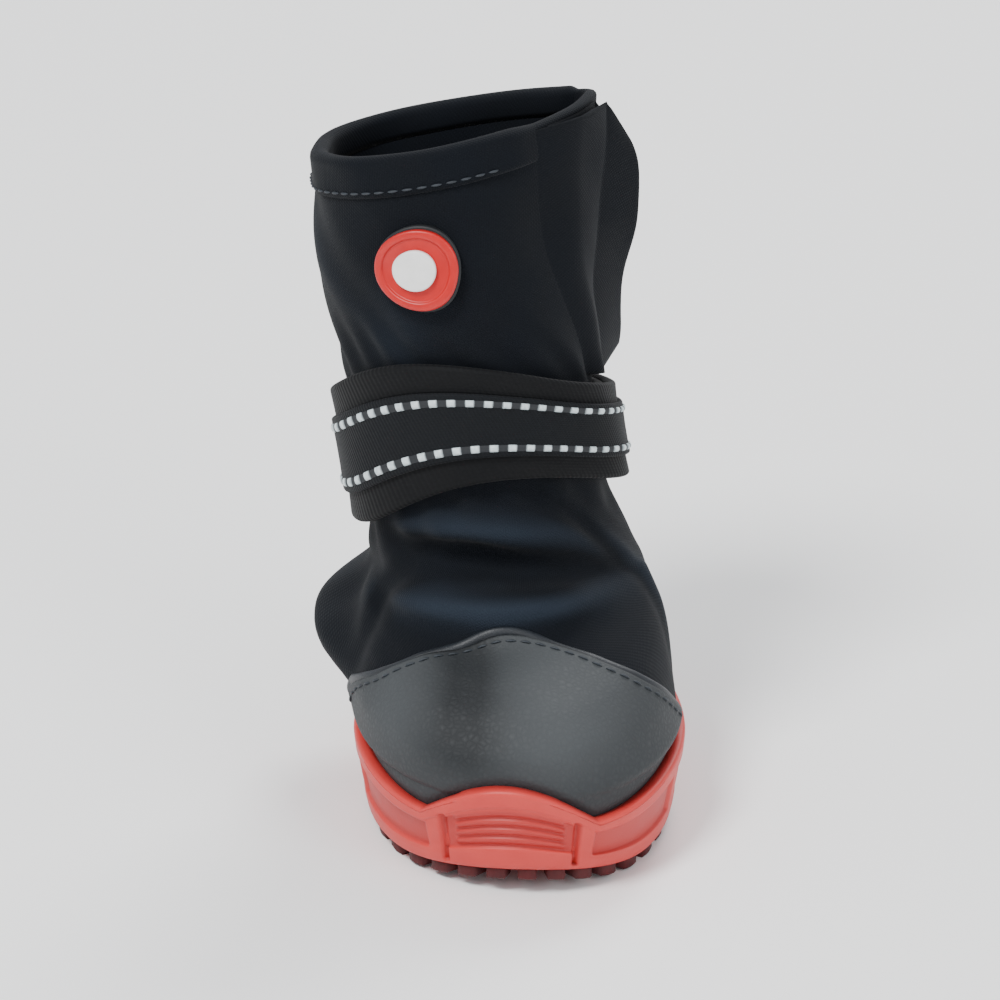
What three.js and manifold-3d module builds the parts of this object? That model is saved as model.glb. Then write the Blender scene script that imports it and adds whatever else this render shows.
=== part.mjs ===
// Dog boot: a rubber cup sole with lugs, a soft hollow upper whose tall shaft is wrapped
// shut at the back, a toe cap with its binding, an ankle strap with reflective lines, and
// a round badge on the shin. Millimetres, +Z up, toe towards -Y, the boot's right side
// towards -X, origin on the ground under the middle of the sole.
import * as THREE from 'three';
import Module from 'manifold-3d';

const wasm = await Module();
wasm.setup();

// Clearance between neighbours that touch on the real boot
const FIT = 0.3;

// Sole
const SOLE_LENGTH = 98;
const SOLE_WIDTH = 69;
const SOLE_WALL = 3;
const SOLE_FLOOR = 4.5;
const SOLE_SWAY = 0.12;
const SOLE_TAPER = 2.6;
const LUG_DEPTH = 2.2;
const RIM_HEIGHT = 19;
const TOE_BUMP_RISE = 8.5;
const TOE_BUMP_WIDTH = 36;
const RIM_NOTCH_DROP = 2.5;
const HEEL_RIM_RISE = 2;
const TOE_SPRING = 5;
const HEEL_SPRING = 2;
const SOLE_EDGE_ROUND = 2.2;
const RIM_ROUND = 0.9;
const SIDE_PANEL_DEPTH = 0.8;
const BUMPER_WIDTH = 28;
const BUMPER_RIB_COUNT = 4;
const BUMPER_RIB_PITCH = 2.2;
const BUMPER_RIB_SIZE = 0.9;
const GROOVE_WIDTH = 1.2;
const GROOVE_DEPTH = 1.4;
const LUG_LENGTH = 8;
const LUG_WIDTH = 10;
const LUG_GAP = 3;
const EDGE_LUG_COUNT = 32;
const EDGE_LUG_REACH = 11;

// Upper
const UPPER_WALL = 2.6;
const FOOT_RISE = 40;
const INSOLE_THICKNESS = 3;
const SHAFT_HEIGHT = 75.5;
const SHAFT_WIDTH = 52;
const SHAFT_DEPTH = 60;
const SHAFT_LEAN = 14.5;
const SHAFT_OFFSET = 15;
const SHAFT_TWIST = 66;
const COLLAR_DROP = 5.5;
const COLLAR_ROLL = 5;
const HEM_HEIGHT = 6.5;
const HEM_THICKNESS = 0.9;

// Toe cap, measured back from the tip of the sole
const CAP_TOP_SETBACK = 33;
const CAP_SIDE_SETBACK = 47;
const CAP_BOW = 6;
const CAP_THICKNESS = 1.2;
const BINDING_WIDTH = 2.6;
const BINDING_THICKNESS = 1.6;

// Ankle strap: its middle line is highest in front, lower behind and lowest at the sides
const STRAP_WIDTH = 25;
const STRAP_THICKNESS = 2.2;
const STRAP_RISE = 25.5;
const STRAP_BACK_DROP = 19;
const STRAP_PEAK_ANGLE = 30;
const STRAP_SIDE_DROP = 5.5;
const STRAP_SLACK = 1.6;
const STRAP_SLACK_ANGLE = -62;
const STRAP_START = 100;
const STRAP_LEAVES = 514;
const RIBBON_START = 190;
const STRAP_TAIL = 15;
const STRAP_TAIL_LIFT = 5;
const WAIST_DEPTH = 1.2;
const RIBBON_WIDTH = 14;
const RIBBON_GAP = 0.45;
const RIBBON_THICKNESS = 0.6;
const LINE_SPACING = 10;
const LINE_WIDTH = 1.6;
const LINE_THICKNESS = 0.5;

// Closure flap: the outer end of the wrapped shaft. It leaves the shaft along a line that
// turns forward by FLAP_TURN degrees from the collar to its foot, and its free edge narrows
// by FLAP_TAPER and hangs lower by FLAP_SAG towards the top
const FLAP_THICKNESS = 2.4;
const FLAP_START = 114;
const FLAP_LEAVES = 156;
const FLAP_TURN = 30;
const FLAP_REACH = 15;
const FLAP_TAPER = 0.1;
const FLAP_SAG = 6;
const FLAP_SPLAY = 24;
const FLAP_CLEARANCE = 2;

// Badge on the shin
const BADGE_DROP = 20.5;
const BADGE_ANGLE = 44;
const BADGE_WIDTH = 17.8;
const BADGE_BASE_THICKNESS = 1.2;
const BADGE_DISC_WIDTH = 16.5;
const BADGE_DISC_THICKNESS = 1.4;
const BADGE_RIM_WIDTH = 1.7;
const BADGE_RECESS = 0.6;
const BADGE_DOT_WIDTH = 8.4;
const BADGE_DOT_THICKNESS = 0.8;

// How finely the round forms are faceted
const AROUND = 48;
const SOLE_AROUND = 52;
const BADGE_AROUND = 24;

const FULL_TURN = 2 * Math.PI;
const radians = THREE.MathUtils.degToRad;
const clamp = THREE.MathUtils.clamp;
const smooth = THREE.MathUtils.smoothstep;
const bell = (distance, reach) => Math.exp(-((distance / reach) ** 2));

const HALF_LENGTH = SOLE_LENGTH / 2;
const SEAT = LUG_DEPTH + SOLE_FLOOR;
const CUP_INSET = SOLE_WALL + FIT;
const CUP_TOP = RIM_HEIGHT + HEEL_RIM_RISE;
const TOE_WALL = RIM_HEIGHT - RIM_NOTCH_DROP + TOE_BUMP_RISE - LUG_DEPTH - TOE_SPRING;

// How far in from their edges the floor and the insole have a ring of points, as shares of
// half the sole's width
const FLOOR_RINGS = [0.14, 0.28, 0.45];

// The sections of the boot, from the sole up. Lengths are shares: of the sole's length
// (middle, half), of its width (wide) and of the foot's rise above the rim (height, rise).
// shift is a share of the shaft's sideways offset. full below 1 squares the ring, pinch
// narrows it behind, and lead moves its widest place forward. The toe sways to the boot's
// inner side in the sole, and less and less above it.
const FOOT_COLUMNS = ['height', 'middle', 'half', 'wide', 'rise', 'shift', 'twist', 'full', 'pinch', 'lead'];
const FOOT_SECTIONS = [
  [0.08, 0.006, 0.4715, 0.477, 0, 0.03, 0, 0.97, 0.12, 0.02],
  [0.235, 0.026, 0.479, 0.472, 0, 0.1, 0, 0.98, 0.11, -0.03],
  [0.38, 0.056, 0.454, 0.456, 0, 0.14, 0, 1, 0.1, -0.14],
  [0.49, 0.1, 0.408, 0.441, -0.012, 0.2, 0, 1.12, 0.1, -0.22],
  [0.59, 0.162, 0.346, 0.422, -0.037, 0.27, 0, 1.14, 0.1, -0.24],
  [0.76, 0.196, 0.303, 0.399, -0.037, 0.36, 0.02, 1.04, 0.1, -0.1],
  [1, 0.224, 0.265, 0.369, -0.005, 0.5, 0.06, 1, 0.12, 0],
];

// Above the ankle the shares are of the shaft's height (height), lean (lean), depth (half),
// width (wide), collar drop and roll (rise, roll), twist and sideways offset (shift).
const SHAFT_COLUMNS = ['height', 'lean', 'half', 'wide', 'rise', 'roll', 'shift', 'twist', 'pinch'];
const SHAFT_SECTIONS = [
  [0.135, 0.08, 0.404, 0.495, 0.18, 0, 0.6, 0.2, 0.15],
  [0.405, 0.29, 0.428, 0.505, 0.45, 0.2, 0.78, 0.5, 0.26],
  [0.695, 0.7, 0.485, 0.498, 0.82, 0.6, 0.96, 0.85, 0.42],
  [1, 1, 0.503, 0.482, 1, 1, 1, 1, 0.46],
];

// Soft folds worn into the instep. height and reach are shares of the foot's rise above
// the rim, depth of the upper's wall (inwards), angle and spread are degrees round the boot
// from the toe, and fall is how far the fold's ends hang below its middle, as a share too.
const FOLDS = [
  { height: 0.88, reach: 0.11, depth: 1.3, angle: 0, spread: 62, fall: 0.16 },
  { height: 0.7, reach: 0.08, depth: -0.5, angle: 5, spread: 50, fall: 0.1 },
  { height: 0.7, reach: 0.1, depth: 0.45, angle: 62, spread: 26, fall: 0.1 },
  { height: 0.26, reach: 0.22, depth: -6.2, angle: -114, spread: 23, fall: 0 },
];

// The side wall of the sole from the bevel up: share of its height, and how far the plain
// wall and the sunk panels stand inside the outline, as shares of the sole's taper (inset)
// and of the panels' depth (panel).
const WALL_STEPS = [
  { height: 0.08, inset: 0.9, panel: 0 },
  { height: 0.2, inset: 0.66, panel: 0 },
  { height: 0.24, inset: 0.6, panel: 1 },
  { height: 0.72, inset: 0.06, panel: 1 },
  { height: 0.76, inset: 0.04, panel: 0 },
  { height: 0.95, inset: 0.06, panel: 0 },
];

// Where the sunk panels run round the sole, in degrees from the toe, alike on both sides
const SIDE_PANELS = [
  { from: 30, to: 72 },
  { from: 80, to: 150 },
];

const SOLE_RING = {
  middle: 0,
  half: HALF_LENGTH,
  wide: SOLE_WIDTH / 2,
  full: 0.97,
  pinch: 0.12,
  lead: 0.02,
  sway: SOLE_SWAY,
};

function cupSection(height) {
  const inside = { ...SOLE_RING };
  inside.half -= CUP_INSET;
  inside.wide -= CUP_INSET;
  return { ...inside, height, rise: 0, roll: 0, shift: 0, twist: 0 };
}

function footSection(row) {
  return {
    height: RIM_HEIGHT + 1 + row.height * FOOT_RISE,
    middle: row.middle * SOLE_LENGTH,
    half: row.half * SOLE_LENGTH,
    wide: row.wide * SOLE_WIDTH,
    rise: row.rise * FOOT_RISE,
    roll: 0,
    shift: -row.shift * SHAFT_OFFSET,
    twist: row.twist * radians(SHAFT_TWIST),
    full: row.full,
    pinch: row.pinch,
    lead: row.lead,
    sway: SOLE_SWAY * (1 - row.height),
  };
}

function shaftSection(row, ankle) {
  return {
    height: ankle.height + row.height * SHAFT_HEIGHT,
    middle: ankle.middle + row.lean * SHAFT_LEAN,
    half: row.half * SHAFT_DEPTH,
    wide: row.wide * SHAFT_WIDTH,
    rise: row.rise * COLLAR_DROP,
    roll: row.roll * COLLAR_ROLL,
    shift: -row.shift * SHAFT_OFFSET,
    twist: row.twist * radians(SHAFT_TWIST),
    full: 1,
    pinch: row.pinch,
    lead: 0,
    sway: 0,
  };
}

// The rows of a table, each with its values under the table's column names
function rowsOf(columns, table) {
  return table.map((row) => Object.fromEntries(row.map((value, column) => [columns[column], value])));
}

const footSections = rowsOf(FOOT_COLUMNS, FOOT_SECTIONS).map(footSection);
const ankleSection = footSections[footSections.length - 1];
const sections = [
  cupSection(SEAT - LUG_DEPTH),
  cupSection(CUP_TOP),
  ...footSections,
  ...rowsOf(SHAFT_COLUMNS, SHAFT_SECTIONS).map((row) => shaftSection(row, ankleSection)),
];
const RIM_ROW = 1;
const ANKLE_ROW = footSections.length + 1;
const COLLAR_ROW = sections.length - 1;

// Slope at each section that keeps the curve between sections from overshooting
function gentleSlope(values, row) {
  if (row === 0 || row === values.length - 1) {
    return 0;
  }
  const before = values[row] - values[row - 1];
  const after = values[row + 1] - values[row];
  return before * after > 0 ? (2 * before * after) / (before + after) : 0;
}

const sectionCurves = Object.keys(sections[0]).map((key) => {
  const values = sections.map((section) => section[key]);
  const slopes = values.map((_, row) => gentleSlope(values, row));
  slopes[COLLAR_ROW] = values[COLLAR_ROW] - values[COLLAR_ROW - 1];
  return { key, values, slopes };
});

// The section at any level between the rows of the table, by cubic Hermite curves
function sectionAt(level) {
  const row = clamp(Math.floor(level), 0, COLLAR_ROW - 1);
  const t = clamp(level, 0, COLLAR_ROW) - row;
  const section = {};
  for (const { key, values, slopes } of sectionCurves) {
    section[key] = values[row] * (1 + 2 * t) * (1 - t) ** 2
      + slopes[row] * t * (1 - t) ** 2
      + values[row + 1] * t ** 2 * (3 - 2 * t)
      + slopes[row + 1] * t ** 2 * (t - 1);
  }
  return section;
}

// A ring seen from above: angle 0 is its front, and a quarter turn its +X side
function ringPoint(ring, angle) {
  const behind = (1 - Math.cos(angle)) / 2;
  const side = Math.sin(angle);
  const narrowed = (1 - ring.pinch * behind ** 2) / (1 - ring.pinch / 4);
  const across = Math.sign(side) * Math.abs(side) ** ring.full * narrowed * ring.wide;
  return {
    along: (-Math.cos(angle) - ring.lead * side ** 2) * ring.half - ring.sway * (1 - behind) * across,
    across,
  };
}

function strapHeight(angle) {
  return ankleSection.height + STRAP_RISE
    - STRAP_BACK_DROP * (1 - Math.cos(angle - radians(STRAP_PEAK_ANGLE))) / 2
    - STRAP_SIDE_DROP * Math.sin(angle - radians(STRAP_PEAK_ANGLE)) ** 2;
}

// How far the skin is pressed in at an angle and height: the folds and the strap's waist
function pressedIn(angle, height) {
  const round = THREE.MathUtils.radToDeg(Math.atan2(Math.sin(angle), Math.cos(angle)));
  let depth = 0;
  for (const fold of FOLDS) {
    const away = (round - fold.angle) / fold.spread;
    const middle = RIM_HEIGHT + 1 + (fold.height - fold.fall * away ** 2) * FOOT_RISE;
    depth += fold.depth * UPPER_WALL * bell(away, 1) * bell(height - middle, fold.reach * FOOT_RISE);
  }
  const aboveCup = smooth(height, CUP_TOP, CUP_TOP + FOOT_RISE / 6);
  return depth * aboveCup + WAIST_DEPTH * bell(height - strapHeight(angle), STRAP_WIDTH * 0.6);
}

// The outside of the upper at an angle round the boot and a level between sections
function skin(angle, level) {
  const section = sectionAt(level);
  const { along, across } = ringPoint(section, angle);
  const turn = section.twist;
  const back = along * Math.cos(turn) - across * Math.sin(turn);
  const right = along * Math.sin(turn) + across * Math.cos(turn);
  const height = section.height - section.rise * back / section.half + section.roll * right / section.wide;
  const keep = 1 - pressedIn(angle, height) / Math.hypot(back, right);
  return new THREE.Vector3(section.shift + right * keep, section.middle + back * keep, height);
}

function skinNormal(angle, level) {
  const step = 0.01;
  const low = Math.max(level - step, 0);
  const high = Math.min(level + step, COLLAR_ROW);
  const round = skin(angle + step, level).sub(skin(angle - step, level));
  const up = skin(angle, high).sub(skin(angle, low));
  return round.cross(up).normalize();
}

function offSkin(angle, level, distance) {
  return skin(angle, level).addScaledVector(skinNormal(angle, level), distance);
}

// The level at which a measure of the skin, rising with level, reaches a value
function levelWhere(angle, measure, value) {
  let low = 0;
  let high = COLLAR_ROW;
  for (let halving = 0; halving < 30; halving += 1) {
    const middle = (low + high) / 2;
    if (measure(skin(angle, middle)) < value) {
      low = middle;
    } else {
      high = middle;
    }
  }
  return (low + high) / 2;
}

const levelAtHeight = (angle, height) => levelWhere(angle, (point) => point.z, height);

function range(count) {
  return Array.from({ length: count }, (_, index) => index);
}

const turnAngles = (count) => range(count).map((index) => (index / count) * FULL_TURN);

// Closed meshes from grids of points

function meshOf(points, triangles) {
  const geometry = new THREE.BufferGeometry();
  const coordinates = points.flatMap((point) => [point.x, point.y, point.z]);
  geometry.setAttribute('position', new THREE.Float32BufferAttribute(coordinates, 3));
  geometry.setIndex(volumeOf(points, triangles) > 0 ? triangles : turnedOver(triangles));
  return geometry;
}

function volumeOf(points, triangles) {
  let six = 0;
  for (let corner = 0; corner < triangles.length; corner += 3) {
    const [a, b, c] = [0, 1, 2].map((next) => points[triangles[corner + next]]);
    six += a.dot(new THREE.Vector3().crossVectors(b, c));
  }
  return six / 6;
}

function turnedOver(triangles) {
  const turned = [];
  for (let corner = 0; corner < triangles.length; corner += 3) {
    turned.push(triangles[corner], triangles[corner + 2], triangles[corner + 1]);
  }
  return turned;
}

// A solid from closed loops of points, from one pole to the other
function loftBetweenPoles(startPole, loops, endPole) {
  const count = loops[0].length;
  const points = [startPole, ...loops.flat(), endPole];
  const last = points.length - 1;
  const at = (loop, index) => 1 + loop * count + (index % count);
  const triangles = [];
  for (const index of range(count)) {
    triangles.push(0, at(0, index + 1), at(0, index));
    triangles.push(last, at(loops.length - 1, index), at(loops.length - 1, index + 1));
    for (const loop of range(loops.length - 1)) {
      triangles.push(at(loop, index), at(loop, index + 1), at(loop + 1, index + 1));
      triangles.push(at(loop, index), at(loop + 1, index + 1), at(loop + 1, index));
    }
  }
  return meshOf(points, triangles);
}

// A wall between an outer and an inner grid of points, columns of equal length. A wall that
// wraps is a closed band, and one that doesn't has ends.
function wallBetween(outer, inner, wraps) {
  const columns = outer.length;
  const rows = outer[0].length;
  const points = [...outer.flat(), ...inner.flat()];
  const out = (column, row) => (column % columns) * rows + row;
  const into = (column, row) => out(column, row) + columns * rows;
  const triangles = [];
  const quad = (a, b, c, d) => triangles.push(a, b, c, a, c, d);
  for (const column of range(wraps ? columns : columns - 1)) {
    for (const row of range(rows - 1)) {
      quad(out(column, row), out(column + 1, row), out(column + 1, row + 1), out(column, row + 1));
      quad(into(column, row), into(column, row + 1), into(column + 1, row + 1), into(column + 1, row));
    }
    quad(out(column, 0), into(column, 0), into(column + 1, 0), out(column + 1, 0));
    const top = rows - 1;
    quad(out(column, top), out(column + 1, top), into(column + 1, top), into(column, top));
  }
  if (!wraps) {
    const end = columns - 1;
    for (const row of range(rows - 1)) {
      quad(out(0, row), out(0, row + 1), into(0, row + 1), into(0, row));
      quad(out(end, row), into(end, row), into(end, row + 1), out(end, row + 1));
    }
  }
  return meshOf(points, triangles);
}

// A prism from a closed outline to the same outline moved by a vector
function prism(outline, move) {
  const moved = outline.map((point) => point.clone().add(move));
  return loftBetweenPoles(middleOf(outline), [outline, moved], middleOf(moved));
}

function middleOf(points) {
  const middle = new THREE.Vector3();
  points.forEach((point) => middle.add(point));
  return middle.divideScalar(points.length);
}

function solid(geometry) {
  return new wasm.Manifold(new wasm.Mesh({
    numProp: 3,
    vertProperties: geometry.getAttribute('position').array,
    triVerts: Uint32Array.from(geometry.index.array),
  }));
}

function geometryOf(manifold) {
  const mesh = manifold.getMesh();
  const geometry = new THREE.BufferGeometry();
  geometry.setAttribute('position', new THREE.Float32BufferAttribute(mesh.vertProperties, 3));
  geometry.setIndex([...mesh.triVerts]);
  return geometry;
}

// Sole

// How far the sole's underside lifts off the ground towards the toe and the heel
function spring(y) {
  const toe = clamp((-y - 0.27 * SOLE_LENGTH) / (0.23 * SOLE_LENGTH), 0, 1);
  const heel = clamp((y - 0.33 * SOLE_LENGTH) / (0.17 * SOLE_LENGTH), 0, 1);
  return TOE_SPRING * toe ** 2 + HEEL_SPRING * heel ** 2;
}

function solePoint(angle, inset) {
  const step = 0.01;
  const at = ringPoint(SOLE_RING, angle);
  const before = ringPoint(SOLE_RING, angle - step);
  const after = ringPoint(SOLE_RING, angle + step);
  const outward = new THREE.Vector2(after.along - before.along, -(after.across - before.across)).normalize();
  return new THREE.Vector3(at.across - outward.x * inset, at.along - outward.y * inset, 0);
}

// The angle round the sole at which its front half is a given distance off the middle
function frontAngleAt(offset) {
  return Math.asin((offset / SOLE_RING.wide) ** (1 / SOLE_RING.full));
}

// The rim rises to a bump over the toe, with a notch each side of it, and at the heel
function rimHeight(angle) {
  const round = Math.abs(Math.atan2(Math.sin(angle), Math.cos(angle)));
  const notch = frontAngleAt(TOE_BUMP_WIDTH / 2);
  const bump = round < notch ? TOE_BUMP_RISE * Math.cos((round / notch) * Math.PI / 2) : 0;
  const dip = RIM_NOTCH_DROP * (1 - smooth(round, notch, radians(80)));
  return RIM_HEIGHT - dip + bump + HEEL_RIM_RISE * smooth(round, radians(135), Math.PI);
}

function panelDepth(angle) {
  const round = Math.abs(THREE.MathUtils.radToDeg(Math.atan2(Math.sin(angle), Math.cos(angle))));
  const bumper = THREE.MathUtils.radToDeg(frontAngleAt(BUMPER_WIDTH / 2));
  const sunk = round < bumper || SIDE_PANELS.some((panel) => round > panel.from && round < panel.to);
  return sunk ? SIDE_PANEL_DEPTH : 0;
}

// Height on the sole's side wall, from its bevel (0) to the rim (1)
function wallHeight(angle, y, share) {
  const foot = LUG_DEPTH + spring(y) + SOLE_EDGE_ROUND * 0.5;
  return foot + share * (rimHeight(angle) - foot);
}

const angleOfSole = turnAngles(SOLE_AROUND);

function soleLoop(inset, heightAt) {
  return angleOfSole.map((angle) => {
    const point = solePoint(angle, typeof inset === 'function' ? inset(angle) : inset);
    point.z = heightAt(angle, point.y);
    return point;
  });
}

function cupWallPoint(angle, height) {
  return offSkin(angle, levelAtHeight(angle, height), FIT);
}

function cupBody() {
  const under = (angle, y) => LUG_DEPTH + spring(y);
  const floor = (angle, y) => SEAT + spring(y);
  const innerWall = (heightAt) => angleOfSole.map((angle) => {
    const reach = cupWallPoint(angle, SEAT + TOE_SPRING);
    const wall = cupWallPoint(angle, heightAt(angle, reach.y));
    wall.z = heightAt(angle, reach.y);
    return wall;
  });
  const walls = WALL_STEPS.map((step) => soleLoop(
    (angle) => step.inset * SOLE_TAPER + step.panel * panelDepth(angle),
    (angle, y) => wallHeight(angle, y, step.height),
  ));
  const loops = [
    soleLoop(EDGE_LUG_REACH + 3, under),
    soleLoop(SOLE_TAPER + SOLE_EDGE_ROUND, under),
    ...walls,
    soleLoop(RIM_ROUND, (angle) => rimHeight(angle)),
    innerWall((angle) => rimHeight(angle)),
    innerWall((angle) => Math.min(RIM_HEIGHT, rimHeight(angle)) - 1),
    innerWall(floor),
    ...FLOOR_RINGS.map((share) => soleLoop(CUP_INSET + share * SOLE_RING.wide, floor)),
  ];
  return loftBetweenPoles(new THREE.Vector3(0, 0, LUG_DEPTH), loops, new THREE.Vector3(0, 0, SEAT));
}

// A lug stands on the ground, or on the sprung toe and heel, and is rooted in the sole
function lug(outline) {
  const root = 1.2;
  const bottom = outline.map((point) => new THREE.Vector3(point.x, point.y, spring(point.y)));
  const middle = middleOf(bottom);
  middle.z = spring(middle.y);
  const top = bottom.map((point) => point.clone().setZ(point.z + LUG_DEPTH + root));
  return loftBetweenPoles(middle, [bottom, top], middleOf(top));
}

// Middle lugs: arrow heads in rows across the sole, one of them at the origin
function middleLugs() {
  const lugs = [];
  const room = EDGE_LUG_REACH + LUG_GAP;
  const pitchY = LUG_LENGTH + LUG_GAP;
  const pitchX = LUG_WIDTH + LUG_GAP;
  const rows = Math.floor((HALF_LENGTH - room - LUG_LENGTH / 2) / pitchY);
  const columns = Math.floor((SOLE_WIDTH / 2 - room) / pitchX) + 1;
  const arrow = [[-0.5, -0.35], [0, -0.5], [0.5, -0.35], [0.5, 0.5], [0, 0.3], [-0.5, 0.5]];
  for (let row = -rows; row <= rows; row += 1) {
    for (let column = -columns; column <= columns; column += 1) {
      const centre = new THREE.Vector3(column * pitchX, row * pitchY, 0);
      const outline = arrow.map(([x, y]) => new THREE.Vector3(
        centre.x + x * LUG_WIDTH,
        centre.y + y * LUG_LENGTH,
        0,
      ));
      if (outline.every((point) => insideSole(point, room))) {
        lugs.push(lug(outline));
      }
    }
  }
  return lugs;
}

function insideSole(point, inset) {
  const turn = angleOfSole.map((angle) => solePoint(angle, inset));
  let inside = false;
  turn.forEach((a, index) => {
    const b = turn[(index + 1) % turn.length];
    if ((a.y > point.y) !== (b.y > point.y)) {
      const crossing = a.x + ((point.y - a.y) / (b.y - a.y)) * (b.x - a.x);
      inside = crossing > point.x ? !inside : inside;
    }
  });
  return inside;
}

// Edge lugs: blocks all round the outline, which give the underside its jagged edge
function edgeLugs() {
  const share = 0.62;
  return range(EDGE_LUG_COUNT).map((index) => {
    const middle = ((index + 0.5) / EDGE_LUG_COUNT) * FULL_TURN;
    const half = (share * FULL_TURN) / EDGE_LUG_COUNT / 2;
    const edge = SOLE_TAPER + SOLE_EDGE_ROUND * 0.6;
    return lug([
      solePoint(middle - half, edge),
      solePoint(middle, edge - 0.3),
      solePoint(middle + half, edge),
      solePoint(middle + half * 0.8, EDGE_LUG_REACH),
      solePoint(middle - half * 0.8, EDGE_LUG_REACH),
    ]);
  });
}

// How far the plain side wall stands inside the outline at a share of its height
function wallTaper(share) {
  const above = WALL_STEPS.findIndex((step) => step.height > share);
  const [low, high] = [WALL_STEPS[above - 1], WALL_STEPS[above]];
  const t = (share - low.height) / (high.height - low.height);
  return SOLE_TAPER * (low.inset + (high.inset - low.inset) * t);
}

// The ribs of the toe bumper, in its sunk panel between the two grooves
function bumperRib(index) {
  const end = frontAngleAt(BUMPER_WIDTH / 2 - GROOVE_WIDTH * 2);
  const share = 0.3 + (index * BUMPER_RIB_PITCH) / TOE_WALL;
  const column = (angle, depth) => {
    const point = solePoint(angle, depth + wallTaper(share));
    point.z = wallHeight(angle, point.y, share);
    return [point, point.clone().setZ(point.z + BUMPER_RIB_SIZE)];
  };
  const angles = range(9).map((step) => -end + (step / 8) * 2 * end);
  const outer = angles.map((angle) => column(angle, SIDE_PANEL_DEPTH - BUMPER_RIB_SIZE * 0.7));
  const inner = angles.map((angle) => column(angle, SIDE_PANEL_DEPTH + 0.7));
  return wallBetween(outer, inner, false);
}

// An upright groove cut into the sole's side at an angle
function sideGroove(angle) {
  const half = GROOVE_WIDTH / 2 / (SOLE_RING.wide * 0.95);
  const loopAt = (height, inset) => [GROOVE_DEPTH, -2].flatMap((depth, index) => (
    [index ? 1 : -1, index ? -1 : 1].map((side) => solePoint(angle + side * half, inset + depth).setZ(height))
  ));
  const low = loopAt(LUG_DEPTH - 1, SOLE_TAPER);
  const high = loopAt(wallHeight(angle, -HALF_LENGTH, 0.8), 0);
  return loftBetweenPoles(middleOf(low), [low, high], middleOf(high));
}

function outsoleGeometry() {
  let body = solid(cupBody());
  for (const geometry of [...middleLugs(), ...edgeLugs(), ...range(BUMPER_RIB_COUNT).map(bumperRib)]) {
    body = body.add(solid(geometry));
  }
  const groove = frontAngleAt(BUMPER_WIDTH / 2);
  for (const angle of [-groove, groove]) {
    body = body.subtract(solid(sideGroove(angle)));
  }
  return geometryOf(body);
}

// The insole lies on the sole's floor inside the upper's wall
function insoleGeometry() {
  const angles = turnAngles(AROUND);
  const loop = (inset, lift) => angles.map((angle) => {
    const edge = offSkin(angle, levelAtHeight(angle, SEAT + TOE_SPRING), -UPPER_WALL - FIT - inset);
    return edge.setZ(SEAT + spring(edge.y) + lift);
  });
  const top = FIT + INSOLE_THICKNESS;
  const rings = FLOOR_RINGS.map((share) => share * SOLE_RING.wide).reverse();
  const loops = [
    ...rings.map((inset) => loop(inset, FIT)),
    loop(0, FIT),
    loop(0, top - 0.6),
    loop(1.2, top),
    loop(rings[1], top - 0.4),
  ];
  const poles = [FIT, top - 0.6].map((lift) => new THREE.Vector3(0, 0, SEAT + lift));
  return loftBetweenPoles(poles[0], loops, poles[1]);
}

// Upper

// Levels between the rim and the collar at which the upper is faceted
const upperLevels = [RIM_ROW, 2, 2.5, 3, 3.5, 4, 4.5, 5, 6, 6.5, 7, ANKLE_ROW, 9, 9.5, 10, 11, COLLAR_ROW];

// Where the upper's wall ends, just above the sole's floor
function hemLevel(angle) {
  const reach = skin(angle, RIM_ROW * 0.5);
  return levelAtHeight(angle, SEAT + spring(reach.y) + FIT);
}

function upperColumn(angle, distance) {
  return [hemLevel(angle), ...upperLevels].map((level) => offSkin(angle, level, distance));
}

function upperGeometry() {
  const angles = turnAngles(AROUND);
  const outer = angles.map((angle) => upperColumn(angle, 0));
  const inner = angles.map((angle) => upperColumn(angle, -UPPER_WALL));
  return wallBetween(outer, inner, true);
}

// The foot filled out to a distance from the skin, on the upper's own facets
function footForm(distance, firstLevel, lastLevel) {
  const angles = turnAngles(AROUND);
  const levels = [RIM_ROW / 2, ...upperLevels]
    .filter((level) => level >= firstLevel && level <= lastLevel);
  const loops = levels.map((level) => angles.map((angle) => offSkin(angle, level, distance)));
  return solid(loftBetweenPoles(middleOf(loops[0]), loops, middleOf(loops[loops.length - 1])));
}

// The sloping plane behind the toe cap, through its top edge and its ends at the rim
const capTop = skin(0, levelWhere(0, (point) => point.y, CAP_TOP_SETBACK - HALF_LENGTH));
const capEnd = new THREE.Vector3(0, CAP_SIDE_SETBACK - HALF_LENGTH, RIM_HEIGHT);
const capSlope = new THREE.Vector3().subVectors(capTop, capEnd).setX(0).normalize();
const capBehind = new THREE.Vector3(0, capSlope.z, -capSlope.y);

// How far the cap's rear edge bows forwards between its middle and its ends
function capBow(x) {
  const share = clamp((2 * x) / SOLE_WIDTH, -1, 1) ** 2;
  return CAP_BOW * 4 * share * (1 - share);
}

// A slab across the boot between two distances behind the toe cap's bowed plane
function slabBehindCap(from, to) {
  const reach = SOLE_LENGTH;
  const stations = stepsBetween(-SOLE_WIDTH, SOLE_WIDTH, SOLE_WIDTH / 12);
  const loops = stations.map((x) => {
    const corner = (up, behind) => new THREE.Vector3(x, capEnd.y, capEnd.z)
      .addScaledVector(capSlope, up)
      .addScaledVector(capBehind, behind - capBow(x));
    return [corner(-reach, from), corner(reach, from), corner(reach, to), corner(-reach, to)];
  });
  return solid(loftBetweenPoles(middleOf(loops[0]), loops, middleOf(loops[loops.length - 1])));
}

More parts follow.
